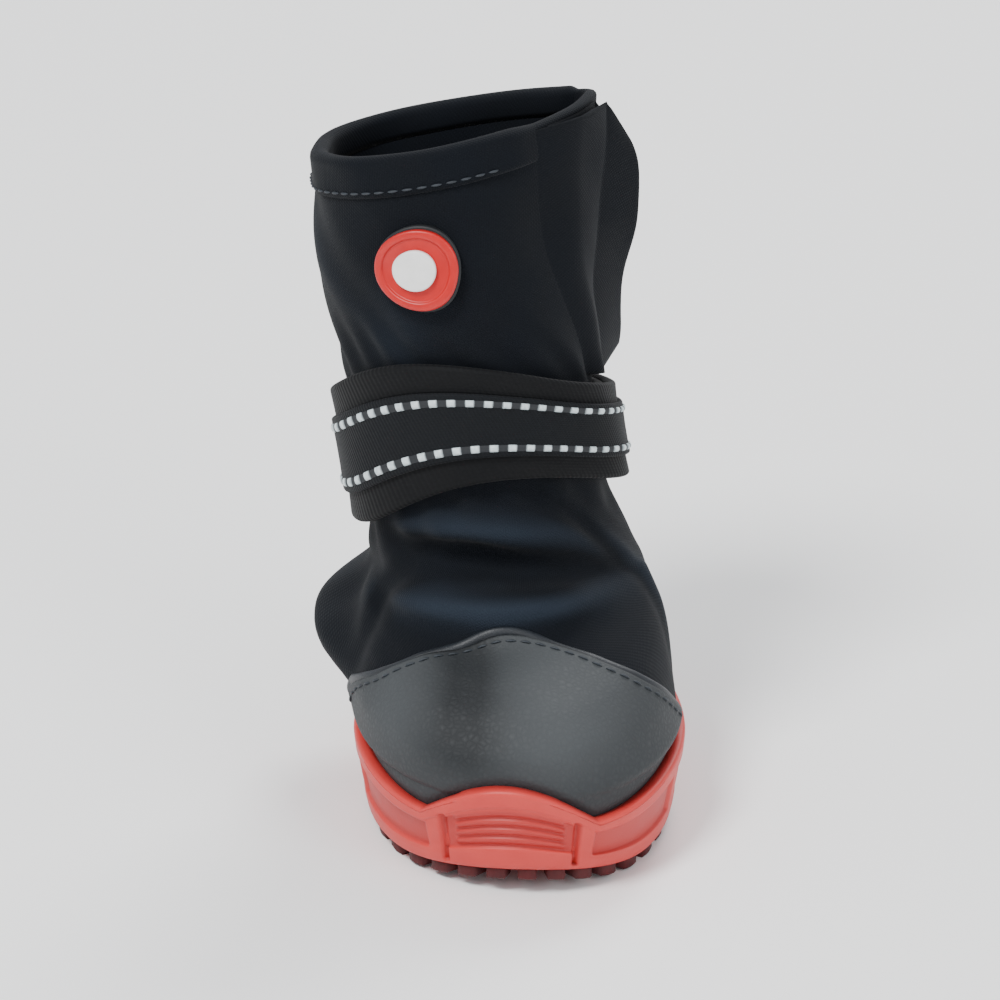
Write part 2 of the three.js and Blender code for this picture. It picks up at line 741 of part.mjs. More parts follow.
// The sole without its cavity, grown upwards by the clearance
function soleForm() {
  const above = (angle) => rimHeight(angle) + 2 * FIT;
  const loops = [
    soleLoop(-4, () => -1),
    soleLoop(-4, above),
    soleLoop(RIM_ROUND, above),
    angleOfSole.map((angle) => cupWallPoint(angle, rimHeight(angle)).setZ(above(angle))),
    soleLoop(4 * SOLE_WALL, above),
  ];
  return solid(loftBetweenPoles(new THREE.Vector3(0, 0, -1), loops, new THREE.Vector3(0, 0, RIM_HEIGHT)));
}

function footOverlay(thickness, from, to) {
  const outer = footForm(FIT + thickness, RIM_ROW, 7);
  const inner = footForm(FIT, RIM_ROW / 2, ANKLE_ROW);
  return geometryOf(outer.subtract(inner).intersect(slabBehindCap(from, to)).subtract(soleForm()));
}

function toeCapGeometry() {
  return footOverlay(CAP_THICKNESS, -SOLE_LENGTH, 0);
}

function capBindingGeometry() {
  return footOverlay(BINDING_THICKNESS, FIT, FIT + BINDING_WIDTH);
}

// A band on the outside of the upper: one column for each angle, between two heights
function bandColumn(angle, heights, distance) {
  return heights.map((height) => offSkin(angle, levelAtHeight(angle, height), distance));
}

function stepsBetween(from, to, step) {
  const count = Math.round(Math.abs(to - from) / step);
  return range(count + 1).map((index) => from + ((to - from) * index) / count);
}

const STEP_DEGREES = 360 / AROUND;

function collarHemGeometry() {
  const angles = stepsBetween(-168, FLAP_START - 4, STEP_DEGREES).map(radians);
  const column = (angle, distance) => {
    const top = skin(angle, COLLAR_ROW).z;
    const heights = [top - HEM_HEIGHT, top - HEM_HEIGHT / 2];
    return [...bandColumn(angle, heights, distance), offSkin(angle, COLLAR_ROW, distance)];
  };
  const outer = angles.map((angle) => column(angle, FIT + HEM_THICKNESS));
  const inner = angles.map((angle) => column(angle, FIT));
  return wallBetween(outer, inner, false);
}

// Closure flap: lies on the shaft, leaves it behind the leg and ends in a free rounded edge
function flapReach(share) {
  const corner = Math.sqrt(1 - clamp((share - 0.5) / 0.5, 0, 1) ** 2);
  return FLAP_REACH * (1 - FLAP_TAPER * share) * (0.06 + 0.94 * corner);
}

function flapPoint(angle, share, distance) {
  const low = strapHeight(angle) + STRAP_WIDTH / 2 + FLAP_CLEARANCE;
  const high = skin(angle, COLLAR_ROW).z;
  const level = share < 1 ? levelAtHeight(angle, low + share * (high - low)) : COLLAR_ROW;
  return offSkin(angle, level, distance);
}

function closureFlapGeometry() {
  const shares = [0, 0.14, 0.28, 0.42, 0.56, 0.7, 0.8, 0.88, 0.95, 1];
  const lies = [0, 0.17, 0.33, 0.5, 0.67, 0.83, 1];
  const leaves = (share) => radians(FLAP_LEAVES - FLAP_TURN * (1 - share));
  const gap = FIT + 0.15;
  const grid = (distanceAt) => {
    const onShaft = lies.map((part, index) => shares.map((share) => {
      const angle = THREE.MathUtils.lerp(radians(FLAP_START), leaves(share), part);
      return flapPoint(angle, share, distanceAt(index));
    }));
    const free = [0.25, 0.5, 0.75, 1].map((out) => shares.map((share) => {
      const start = flapPoint(leaves(share), share, distanceAt(lies.length));
      const before = flapPoint(leaves(share) - 0.02, share, distanceAt(lies.length));
      const away = start.clone().sub(before).setZ(0).normalize();
      away.applyAxisAngle(new THREE.Vector3(0, 0, 1), -radians(FLAP_SPLAY));
      start.z -= FLAP_SAG * share * out ** 2;
      return start.addScaledVector(away, out * flapReach(share));
    }));
    return [...onShaft, ...free];
  };
  const thickness = (index) => FLAP_THICKNESS * clamp(0.4 + index * 0.2, 0, 1);
  return wallBetween(grid((index) => gap + thickness(index)), grid(() => gap), false);
}

// Ankle strap: once round the ankle, then over its own start, and off in a free tail
const HALF_STRAP = STRAP_WIDTH / 2;
const strapTurns = stepsBetween(STRAP_START, STRAP_LEAVES, STEP_DEGREES).map(radians);
const tailShares = [0.25, 0.5, 0.75, 1];

function strapLift(angle) {
  const over = smooth(angle, radians(STRAP_START + 318), radians(STRAP_START + 352));
  const slack = STRAP_SLACK * (1 + Math.cos(angle - radians(STRAP_SLACK_ANGLE))) / 2;
  return FIT + 0.1 + over * (STRAP_THICKNESS + FIT) + slack ** 2 / STRAP_SLACK;
}

// The webbing lies straight from its lower edge to its upper edge
function strapColumn(angle, across, distance) {
  const edges = [strapHeight(angle) - HALF_STRAP, strapHeight(angle) + HALF_STRAP];
  const [low, high] = bandColumn(angle, edges, strapLift(angle) + distance);
  return across.map((offset) => low.clone().lerp(high, 0.5 + offset / STRAP_WIDTH));
}

function tailColumn(out, across, distance) {
  const leaves = radians(STRAP_LEAVES);
  const start = strapColumn(leaves, across, distance);
  const before = strapColumn(leaves - 0.02, across, distance);
  return start.map((point, index) => {
    const away = point.clone().sub(before[index]).setZ(0).normalize();
    const tip = point.clone().addScaledVector(away, out * STRAP_TAIL);
    return tip.setZ(point.z + STRAP_TAIL_LIFT * out ** 2);
  });
}

// A layer of the strap between two distances from its inner face, along part of its run
function strapLayer(across, from, to, firstAngle) {
  const turns = strapTurns.filter((angle) => angle >= firstAngle);
  const grid = (distance) => [
    ...turns.map((angle) => strapColumn(angle, across, distance)),
    ...tailShares.map((out) => tailColumn(out, across, distance)),
  ];
  return wallBetween(grid(to), grid(from), false);
}

const RIBBON_FACE = STRAP_THICKNESS + RIBBON_GAP + RIBBON_THICKNESS;
const RIBBON_FIRST = radians(RIBBON_START);

function ankleStrapGeometry() {
  return strapLayer([-HALF_STRAP, HALF_STRAP], 0, STRAP_THICKNESS, 0);
}

function ribbonGeometry() {
  const half = RIBBON_WIDTH / 2;
  return strapLayer([-half, half], STRAP_THICKNESS + RIBBON_GAP, RIBBON_FACE, RIBBON_FIRST);
}

function reflectiveLineGeometry(side) {
  const middle = side * LINE_SPACING / 2;
  const across = [middle - LINE_WIDTH / 2, middle + LINE_WIDTH / 2];
  return strapLayer(across, RIBBON_FACE + FIT, RIBBON_FACE + FIT + LINE_THICKNESS, RIBBON_FIRST);
}

// Badge: round pieces that follow the front of the shaft
const badgeAngle = radians(BADGE_ANGLE);
const badgeLevel = levelAtHeight(badgeAngle, skin(badgeAngle, COLLAR_ROW).z - BADGE_DROP);
const badgeStep = 0.01;
const badgeMiddle = skin(badgeAngle, badgeLevel);
const perAngle = skin(badgeAngle + badgeStep, badgeLevel).sub(badgeMiddle).divideScalar(badgeStep);
const perLevel = skin(badgeAngle, badgeLevel + badgeStep).sub(badgeMiddle).divideScalar(badgeStep);
const badgeAcross = perAngle.clone().normalize();
const badgeUp = perLevel.clone().addScaledVector(badgeAcross, -perLevel.dot(badgeAcross)).normalize();

// A point off the shaft at a radius and turn about the badge's middle, where the shaft's own
// two directions are aslant to each other
function badgePoint(radius, turn, distance) {
  const level = (radius * Math.sin(turn)) / perLevel.dot(badgeUp);
  const angle = (radius * Math.cos(turn) - level * perLevel.dot(badgeAcross)) / perAngle.length();
  return offSkin(badgeAngle + angle, badgeLevel + level, distance);
}

// A profile of [radius, distance off the shaft] pairs, from the middle out and back again
function badgePiece(profile) {
  const loops = profile.slice(1, -1).map(([radius, distance]) => (
    turnAngles(BADGE_AROUND).map((turn) => badgePoint(radius, turn, distance))
  ));
  const ends = [profile[0], profile[profile.length - 1]];
  const [start, end] = ends.map(([, distance]) => badgePoint(0, 0, distance));
  return loftBetweenPoles(start, loops, end);
}

const BADGE_BASE_FACE = FIT + BADGE_BASE_THICKNESS;
const DISC_FACE = BADGE_BASE_FACE + FIT + BADGE_DISC_THICKNESS;

function badgeBaseGeometry() {
  const radius = BADGE_WIDTH / 2;
  const gap = FIT;
  return badgePiece([
    [0, gap], [radius / 2, gap], [radius, gap],
    [radius, BADGE_BASE_FACE - 0.4], [radius - 0.4, BADGE_BASE_FACE],
    [radius / 2, BADGE_BASE_FACE], [0, BADGE_BASE_FACE],
  ]);
}

function badgeDiscGeometry() {
  const radius = BADGE_DISC_WIDTH / 2;
  const inside = radius - BADGE_RIM_WIDTH;
  const seat = BADGE_BASE_FACE + FIT;
  return badgePiece([
    [0, seat], [radius / 2, seat], [radius, seat],
    [radius, DISC_FACE - 0.4], [radius - 0.4, DISC_FACE], [inside + 0.3, DISC_FACE],
    [inside, DISC_FACE - BADGE_RECESS], [inside / 2, DISC_FACE - BADGE_RECESS],
    [0, DISC_FACE - BADGE_RECESS],
  ]);
}

function badgeDotGeometry() {
  const radius = BADGE_DOT_WIDTH / 2;
  const seat = DISC_FACE - BADGE_RECESS + FIT;
  const face = seat + BADGE_DOT_THICKNESS;
  return badgePiece([
    [0, seat], [radius, seat], [radius, face - 0.3], [radius - 0.4, face], [0, face],
  ]);
}

// Materials and the finished boot
const rubberRed = new THREE.MeshStandardMaterial({ color: 0xd64f47, roughness: 0.6, metalness: 0 });
const knitBlack = new THREE.MeshStandardMaterial({ color: 0x14181d, roughness: 0.9, metalness: 0 });
const foamGrey = new THREE.MeshStandardMaterial({ color: 0x3a3c3e, roughness: 0.9, metalness: 0 });
const capGrey = new THREE.MeshStandardMaterial({ color: 0x3c4249, roughness: 0.7, metalness: 0 });
const tapeBlack = new THREE.MeshStandardMaterial({ color: 0x0d0f12, roughness: 0.8, metalness: 0 });
const reflective = new THREE.MeshStandardMaterial({ color: 0xb9c2c4, roughness: 0.4, metalness: 0.2 });
const badgeRed = new THREE.MeshStandardMaterial({ color: 0xd9322c, roughness: 0.4, metalness: 0 });
const badgeWhite = new THREE.MeshStandardMaterial({ color: 0xf2f0ee, roughness: 0.4, metalness: 0 });

const boot = new THREE.Group();

function place(name, geometry, material) {
  const mesh = new THREE.Mesh(geometry, material);
  mesh.name = name;
  boot.add(mesh);
}

place('outsole', outsoleGeometry(), rubberRed);
place('insole', insoleGeometry(), foamGrey);
place('upper', upperGeometry(), knitBlack);
place('toe_cap', toeCapGeometry(), capGrey);
place('cap_binding', capBindingGeometry(), tapeBlack);
place('collar_hem', collarHemGeometry(), knitBlack);
place('closure_flap', closureFlapGeometry(), knitBlack);
place('ankle_strap', ankleStrapGeometry(), tapeBlack);
place('strap_ribbon', ribbonGeometry(), tapeBlack);
place('reflective_line_upper', reflectiveLineGeometry(1), reflective);
place('reflective_line_lower', reflectiveLineGeometry(-1), reflective);
place('badge_base', badgeBaseGeometry(), tapeBlack);
place('badge_disc', badgeDiscGeometry(), badgeRed);
place('badge_dot', badgeDotGeometry(), badgeWhite);

export default boot;
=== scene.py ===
"""One dog boot: a lugged rubber cup sole, a soft cloth upper with a tall wrapped shaft, a
grained toe cap, an ankle strap with dotted reflective lines, and a round badge.

Every surface is a function of two parameters on a grid, worked out in millimetres in the
CAD part's frame (toe towards -Y, +Z up) and put into its mesh in metres."""
import math

import bpy
import numpy as np
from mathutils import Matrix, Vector


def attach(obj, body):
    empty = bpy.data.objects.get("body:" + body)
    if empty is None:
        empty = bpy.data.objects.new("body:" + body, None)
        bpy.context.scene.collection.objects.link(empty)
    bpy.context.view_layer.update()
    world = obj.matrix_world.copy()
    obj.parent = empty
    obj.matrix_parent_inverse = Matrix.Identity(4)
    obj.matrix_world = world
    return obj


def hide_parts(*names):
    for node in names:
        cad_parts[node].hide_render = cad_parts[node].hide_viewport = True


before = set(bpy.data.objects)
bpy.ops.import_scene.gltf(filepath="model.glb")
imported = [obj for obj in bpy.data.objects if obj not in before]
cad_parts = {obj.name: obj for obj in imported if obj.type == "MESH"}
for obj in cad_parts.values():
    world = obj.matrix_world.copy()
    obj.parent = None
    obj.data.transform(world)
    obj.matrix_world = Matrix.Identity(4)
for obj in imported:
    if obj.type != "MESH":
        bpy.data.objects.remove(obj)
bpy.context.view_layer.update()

MM = 0.001
# A small step in angle or level, by which slopes are measured
STEP = 0.01

# The photograph's view of the boot
CAMERA_AZIMUTH = 3.0
CAMERA_ELEVATION = 24.5
CAMERA_DISTANCE = 1.72
CAMERA_LENS = 300.0
CAMERA_TARGET = (-0.0045, 0.005, 0.0655)

# Sizes in millimetres, as in the part's source
FIT = 0.3
SOLE_LENGTH = 98.0
SOLE_WIDTH = 69.0
SOLE_WALL = 3.0
SOLE_FLOOR = 4.5
SOLE_SWAY = 0.12
SOLE_TAPER = 2.6
LUG_DEPTH = 2.2
RIM_HEIGHT = 19.0
TOE_BUMP_RISE = 8.5
TOE_BUMP_WIDTH = 36.0
RIM_NOTCH_DROP = 2.5
HEEL_RIM_RISE = 2.0
TOE_SPRING = 5.0
HEEL_SPRING = 2.0
SOLE_EDGE_ROUND = 2.2
RIM_ROUND = 0.9
SIDE_PANEL_DEPTH = 0.8
BUMPER_WIDTH = 28.0
BUMPER_RIB_COUNT = 4
BUMPER_RIB_PITCH = 2.2
BUMPER_RIB_SIZE = 0.9
GROOVE_WIDTH = 1.2
GROOVE_DEPTH = 1.4
LUG_LENGTH = 8.0
LUG_WIDTH = 10.0
LUG_GAP = 3.0
EDGE_LUG_COUNT = 32
EDGE_LUG_REACH = 11.0
UPPER_WALL = 2.6
FOOT_RISE = 40.0
INSOLE_THICKNESS = 3.0
SHAFT_HEIGHT = 75.5
SHAFT_WIDTH = 52.0
SHAFT_DEPTH = 60.0
SHAFT_LEAN = 14.5
SHAFT_OFFSET = 15.0
SHAFT_TWIST = 66.0
COLLAR_DROP = 5.5
COLLAR_ROLL = 5.0
HEM_HEIGHT = 6.5
HEM_THICKNESS = 0.9
CAP_TOP_SETBACK = 33.0
CAP_SIDE_SETBACK = 47.0
CAP_BOW = 6.0
CAP_THICKNESS = 1.2
BINDING_WIDTH = 2.6
BINDING_THICKNESS = 1.6
STRAP_WIDTH = 25.0
STRAP_THICKNESS = 2.2
STRAP_RISE = 25.5
STRAP_BACK_DROP = 19.0
STRAP_PEAK_ANGLE = 30.0
STRAP_SIDE_DROP = 5.5
STRAP_SLACK = 1.6
STRAP_SLACK_ANGLE = -62.0
STRAP_START = 100.0
STRAP_LEAVES = 514.0
RIBBON_START = 190.0
STRAP_TAIL = 15.0
STRAP_TAIL_LIFT = 5.0
WAIST_DEPTH = 1.2
RIBBON_WIDTH = 14.0
RIBBON_GAP = 0.45
RIBBON_THICKNESS = 0.6
LINE_SPACING = 10.0
LINE_WIDTH = 1.6
LINE_THICKNESS = 0.5
FLAP_THICKNESS = 2.4
FLAP_START = 114.0
FLAP_LEAVES = 156.0
FLAP_TURN = 30.0
FLAP_REACH = 15.0
FLAP_TAPER = 0.1
FLAP_SAG = 6.0
FLAP_SPLAY = 24.0
FLAP_CLEARANCE = 2.0
BADGE_DROP = 20.5
BADGE_ANGLE = 44.0
BADGE_WIDTH = 17.8
BADGE_BASE_THICKNESS = 1.2
BADGE_DISC_WIDTH = 16.5
BADGE_DISC_THICKNESS = 1.4
BADGE_RIM_WIDTH = 1.7
BADGE_RECESS = 0.6
BADGE_DOT_WIDTH = 8.4
BADGE_DOT_THICKNESS = 0.8

# Details that only the finished surfaces have
DASH_PITCH = 3.85
DASH_LENGTH = 2.0
STITCH_LENGTH = 2.3
STITCH_PITCH = 3.1
STITCH_RADIUS = 0.28
EDGE_LUG_SHARE = 0.62
HEM_START = -168.0
FLAP_GAP = 0.45
TUCK = 0.3
CLOTH_RADIUS = 30.0

# How finely the surfaces are divided
CUP_COLUMNS = 672
UPPER_COLUMNS = 320
INSOLE_COLUMNS = 144
BADGE_COLUMNS = 96
STRAP_COLUMNS = 260
RIBBON_COLUMNS = 240
LINE_COLUMNS = 1100
TAIL_COLUMNS = 14
LINE_TAIL_COLUMNS = 60

FULL_TURN = 2 * math.pi
HALF_LENGTH = SOLE_LENGTH / 2
SEAT = LUG_DEPTH + SOLE_FLOOR
CUP_INSET = SOLE_WALL + FIT
CUP_TOP = RIM_HEIGHT + HEEL_RIM_RISE
RIBBON_FACE = STRAP_THICKNESS + RIBBON_GAP + RIBBON_THICKNESS
TOE_WALL = RIM_HEIGHT - RIM_NOTCH_DROP + TOE_BUMP_RISE - LUG_DEPTH - TOE_SPRING


def bell(distance, reach):
    """exp(-(distance / reach) squared)."""
    return np.exp(-((distance / reach) ** 2))


def ramp(value, low, high):
    """0 up to low, 1 from high, and 3 t^2 - 2 t^3 in between."""
    share = np.clip((value - low) / (high - low), 0, 1)
    return share * share * (3 - 2 * share)


def unit(vectors):
    """Each vector over its own length."""
    return vectors / np.maximum(np.linalg.norm(vectors, axis=-1, keepdims=True), 1e-9)


def lengths_along(path):
    """The distance along a path of points, from 0 at its first point."""
    steps = np.linalg.norm(np.diff(path, axis=0), axis=-1)
    return np.concatenate([[0.0], np.cumsum(steps)])


# Sections of the boot, as in the part's source. Foot rows hold shares of FOOT_RISE in
# height and rise, of SOLE_LENGTH in middle and half, of SOLE_WIDTH in wide, and of the
# shaft's offset and twist in shift and twist. Shaft rows hold shares of the shaft's sizes.

FOOT_COLUMNS = ("height", "middle", "half", "wide", "rise", "shift", "twist", "full", "pinch", "lead")
FOOT_SECTIONS = (
    (0.08, 0.006, 0.4715, 0.477, 0, 0.03, 0, 0.97, 0.12, 0.02),
    (0.235, 0.026, 0.479, 0.472, 0, 0.1, 0, 0.98, 0.11, -0.03),
    (0.38, 0.056, 0.454, 0.456, 0, 0.14, 0, 1, 0.1, -0.14),
    (0.49, 0.1, 0.408, 0.441, -0.012, 0.2, 0, 1.12, 0.1, -0.22),
    (0.59, 0.162, 0.346, 0.422, -0.037, 0.27, 0, 1.14, 0.1, -0.24),
    (0.76, 0.196, 0.303, 0.399, -0.037, 0.36, 0.02, 1.04, 0.1, -0.1),
    (1, 0.224, 0.265, 0.369, -0.005, 0.5, 0.06, 1, 0.12, 0),
)
SHAFT_COLUMNS = ("height", "lean", "half", "wide", "rise", "roll", "shift", "twist", "pinch")
SHAFT_SECTIONS = (
    (0.135, 0.08, 0.404, 0.495, 0.18, 0, 0.6, 0.2, 0.15),
    (0.405, 0.29, 0.428, 0.505, 0.45, 0.2, 0.78, 0.5, 0.26),
    (0.695, 0.7, 0.485, 0.498, 0.82, 0.6, 0.96, 0.85, 0.42),
    (1, 1, 0.503, 0.482, 1, 1, 1, 1, 0.46),
)
FOLD_COLUMNS = ("height", "reach", "depth", "angle", "spread", "fall")
FOLDS = (
    (0.88, 0.11, 1.3, 0, 62, 0.16),
    (0.7, 0.08, -0.5, 5, 50, 0.1),
    (0.7, 0.1, 0.45, 62, 26, 0.1),
    (0.26, 0.22, -6.2, -114, 23, 0),
)
SOLE_RING = {
    "middle": 0,
    "half": HALF_LENGTH,
    "wide": SOLE_WIDTH / 2,
    "full": 0.97,
    "pinch": 0.12,
    "lead": 0.02,
    "sway": SOLE_SWAY,
}
SECTION_KEYS = (
    "height", "middle", "half", "wide", "rise", "roll",
    "shift", "twist", "full", "pinch", "lead", "sway",
)


def rows_of(columns, table):
    """The rows of a table, each with its values under the table's column names."""
    return [dict(zip(columns, row)) for row in table]


def cup_section(height):
    """The sole's ring, moved in by its wall and the clearance."""
    inside = {"half": SOLE_RING["half"] - CUP_INSET, "wide": SOLE_RING["wide"] - CUP_INSET}
    return {**SOLE_RING, **inside, "height": height, "rise": 0, "roll": 0, "shift": 0, "twist": 0}


def foot_section(row):
    """A row of the foot's table, its shares turned to millimetres."""
    return {
        "height": RIM_HEIGHT + 1 + row["height"] * FOOT_RISE,
        "middle": row["middle"] * SOLE_LENGTH,
        "half": row["half"] * SOLE_LENGTH,
        "wide": row["wide"] * SOLE_WIDTH,
        "rise": row["rise"] * FOOT_RISE,
        "roll": 0,
        "shift": -row["shift"] * SHAFT_OFFSET,
        "twist": row["twist"] * math.radians(SHAFT_TWIST),
        "full": row["full"],
        "pinch": row["pinch"],
        "lead": row["lead"],
        "sway": SOLE_SWAY * (1 - row["height"]),
    }


def shaft_section(row, ankle):
    """A row of the shaft's table, standing on the ankle's section."""
    return {
        "height": ankle["height"] + row["height"] * SHAFT_HEIGHT,
        "middle": ankle["middle"] + row["lean"] * SHAFT_LEAN,
        "half": row["half"] * SHAFT_DEPTH,
        "wide": row["wide"] * SHAFT_WIDTH,
        "rise": row["rise"] * COLLAR_DROP,
        "roll": row["roll"] * COLLAR_ROLL,
        "shift": -row["shift"] * SHAFT_OFFSET,
        "twist": row["twist"] * math.radians(SHAFT_TWIST),
        "full": 1,
        "pinch": row["pinch"],
        "lead": 0,
        "sway": 0,
    }


def gentle_slopes(values):
    """Slope at each row: the harmonic mean of the steps beside it, and 0 where they turn."""
    before, after = values[1:-1] - values[:-2], values[2:] - values[1:-1]
    turns = before * after <= 0
    total = np.where(turns, 1, before + after)
    slopes = np.zeros_like(values)
    slopes[1:-1] = np.where(turns, 0, 2 * before * after / total)
    slopes[-1] = values[-1] - values[-2]
    return slopes


foot_sections = [foot_section(row) for row in rows_of(FOOT_COLUMNS, FOOT_SECTIONS)]
ankle_section = foot_sections[-1]
shaft_sections = [shaft_section(row, ankle_section) for row in rows_of(SHAFT_COLUMNS, SHAFT_SECTIONS)]
section_rows = [cup_section(SEAT - LUG_DEPTH), cup_section(CUP_TOP), *foot_sections, *shaft_sections]
section_values = np.array([[row[key] for key in SECTION_KEYS] for row in section_rows], dtype=float)
section_slopes = gentle_slopes(section_values)
RIM_ROW = 1
COLLAR_ROW = len(section_rows) - 1


def section_at(level):
    """The section at any level between the rows, by cubic Hermite curves."""
    level = np.clip(level, 0, COLLAR_ROW)
    row = np.minimum(np.floor(level).astype(int), COLLAR_ROW - 1)
    t = (level - row)[..., None]
    values = (
        section_values[row] * (1 + 2 * t) * (1 - t) ** 2
        + section_slopes[row] * t * (1 - t) ** 2
        + section_values[row + 1] * t ** 2 * (3 - 2 * t)
        + section_slopes[row + 1] * t ** 2 * (t - 1)
    )
    return dict(zip(SECTION_KEYS, np.moveaxis(values, -1, 0)))


def ring_point(ring, angle):
    """A ring seen from above. Across is sin^full (1 - pinch behind^2) wide, where behind
    runs from 0 in front to 1 at the back, and along is (-cos - lead sin^2) half, less
    sway (1 - behind) across."""
    behind = (1 - np.cos(angle)) / 2
    side = np.sin(angle)
    narrowed = (1 - ring["pinch"] * behind ** 2) / (1 - ring["pinch"] / 4)
    across = np.sign(side) * np.abs(side) ** ring["full"] * narrowed * ring["wide"]
    along = (-np.cos(angle) - ring["lead"] * side ** 2) * ring["half"]
    return along - ring["sway"] * (1 - behind) * across, across


def strap_height(angle):
    """The strap's middle line: highest at its peak, lower opposite, lowest at the sides."""
    turned = angle - math.radians(STRAP_PEAK_ANGLE)
    back = STRAP_BACK_DROP * (1 - np.cos(turned)) / 2
    return ankle_section["height"] + STRAP_RISE - back - STRAP_SIDE_DROP * np.sin(turned) ** 2


def pressed_in(angle, height):
    """How far the skin is pressed in: a bell for each fold, and one for the strap's waist."""
    degrees = np.degrees(np.arctan2(np.sin(angle), np.cos(angle)))
    depth = np.zeros(np.broadcast(angle, height).shape)
    for fold in rows_of(FOLD_COLUMNS, FOLDS):
        away = (degrees - fold["angle"]) / fold["spread"]
        middle = RIM_HEIGHT + 1 + (fold["height"] - fold["fall"] * away ** 2) * FOOT_RISE
        press = bell(away, 1) * bell(height - middle, fold["reach"] * FOOT_RISE)
        depth = depth + fold["depth"] * UPPER_WALL * press
    above_cup = ramp(height, CUP_TOP, CUP_TOP + FOOT_RISE / 6)
    return depth * above_cup + WAIST_DEPTH * bell(height - strap_height(angle), STRAP_WIDTH * 0.6)


def skin(angle, level):
    """The outside of the upper: the section's ring, turned by its twist, tilted by its rise
    and roll, moved by its shift and middle, and pressed in."""
    angle, level = np.broadcast_arrays(angle, level)
    section = section_at(level)
    along, across = ring_point(section, angle)
    turn = section["twist"]
    back = along * np.cos(turn) - across * np.sin(turn)
    right = along * np.sin(turn) + across * np.cos(turn)
    tilt = section["roll"] * right / section["wide"] - section["rise"] * back / section["half"]
    height = section["height"] + tilt
    keep = 1 - pressed_in(angle, height) / np.hypot(back, right)
    return np.stack([section["shift"] + right * keep, section["middle"] + back * keep, height], -1)


def skin_normal(angle, level):
    """The cross product of the skin's two directions, a small step each way."""
    low, high = np.maximum(level - STEP, 0), np.minimum(level + STEP, COLLAR_ROW)
    round_it = skin(angle + STEP, level) - skin(angle - STEP, level)
    return unit(np.cross(round_it, skin(angle, high) - skin(angle, low)))


def off_skin(angle, level, distance):
    """The skin moved out along its normal."""
    angle, level, distance = np.broadcast_arrays(angle, level, distance)
    return skin(angle, level) + skin_normal(angle, level) * distance[..., None]


def level_where(angle, measure, value):
    """The level at which a measure of the skin, rising with level, reaches a value: halving."""
    low = np.zeros(np.broadcast(angle, value).shape)
    high = np.full_like(low, COLLAR_ROW)
    for _ in range(24):
        middle = (low + high) / 2
        under = measure(skin(angle, middle)) < value
        low, high = np.where(under, middle, low), np.where(under, high, middle)
    return (low + high) / 2


def level_at_height(angle, height):
    return level_where(angle, lambda points: points[..., 2], height)


# Soft relief of the cloth, in millimetres off the skin

CREASE_COLUMNS = ("angle", "height", "along", "across", "slope", "depth")
CREASES = (
    (2, 62, 46, 3.2, 0, 1.8),
    (-4, 55.5, 56, 3.2, -2, -2.8),
    (4, 48.5, 62, 2.8, 1, 2.6),
    (58, 58, 24, 3.6, -14, -1.8),
    (72, 50, 24, 4, -12, 1.6),
    (-52, 47, 20, 3.6, 9, -2),
    (-80, 44, 22, 3.6, 8, -1.2),
    (150, 50, 40, 4.5, 0, -1),
    (-160, 42, 40, 4.5, 0, 0.9),
    (20, 104, 34, 6, 14, 0.5),
    (64, 112, 26, 6, -18, -0.6),
    (-30, 118, 30, 7, -10, 0.55),
)


def creases(angle, height):
    """Troughs (below 0) and ridges, as listed: along each, a bell of the angle off its
    middle, and across it a bell of the height off a line that bows down at its ends."""
    degrees = np.degrees(angle)
    relief = np.zeros(np.broadcast(angle, height).shape)
    for crease in rows_of(CREASE_COLUMNS, CREASES):
        away = (degrees - crease["angle"] + 180) % 360 - 180
        share = away / crease["along"]
        line = crease["height"] + crease["slope"] * share - 3 * share ** 2
        relief = relief + crease["depth"] * bell(share, 1) * bell(height - line, crease["across"])
    return relief


SLACK_WAVES = ((0.34, 3, 0.09, 0.6), (0.26, 5, -0.16, 2.1), (0.16, 9, 0.23, 4.0))
PUCKERS = ((1, 0.42, 17, 1.3, 3), (-1, 0.5, 15, 1.7, 2))
PUCKER_DISTANCE = 3
PUCKER_REACH = 4.5


def cloth_relief(angle, height):
    """Creases, slack waves and puckers, held down under the strap and flat by the sole. A
    wave is size sin(number angle + pitch height + phase). Puckers gather beside one edge of
    the strap, as size sin(number angle + drift sin(times angle))."""
    off_strap = height - strap_height(angle)
    relief = creases(angle, height)
    for size, number, pitch, phase in SLACK_WAVES:
        relief = relief + size * np.sin(number * angle + pitch * height + phase)
    for side, size, number, drift, times in PUCKERS:
        gathers = bell(off_strap - side * (STRAP_WIDTH / 2 + PUCKER_DISTANCE), PUCKER_REACH)
        relief = relief + size * np.sin(number * angle + drift * np.sin(times * angle)) * gathers
    held = 0.85 * bell(off_strap, STRAP_WIDTH * 0.42)
    return relief * ramp(height, CUP_TOP, CUP_TOP + 7) * (1 - held)


def on_cloth(angle, level, distance):
    """The skin with its relief, moved out by a distance."""
    angle, level, distance = np.broadcast_arrays(angle, level, distance)
    relief = cloth_relief(angle, skin(angle, level)[..., 2])
    return off_skin(angle, level, distance + relief)


# Meshes

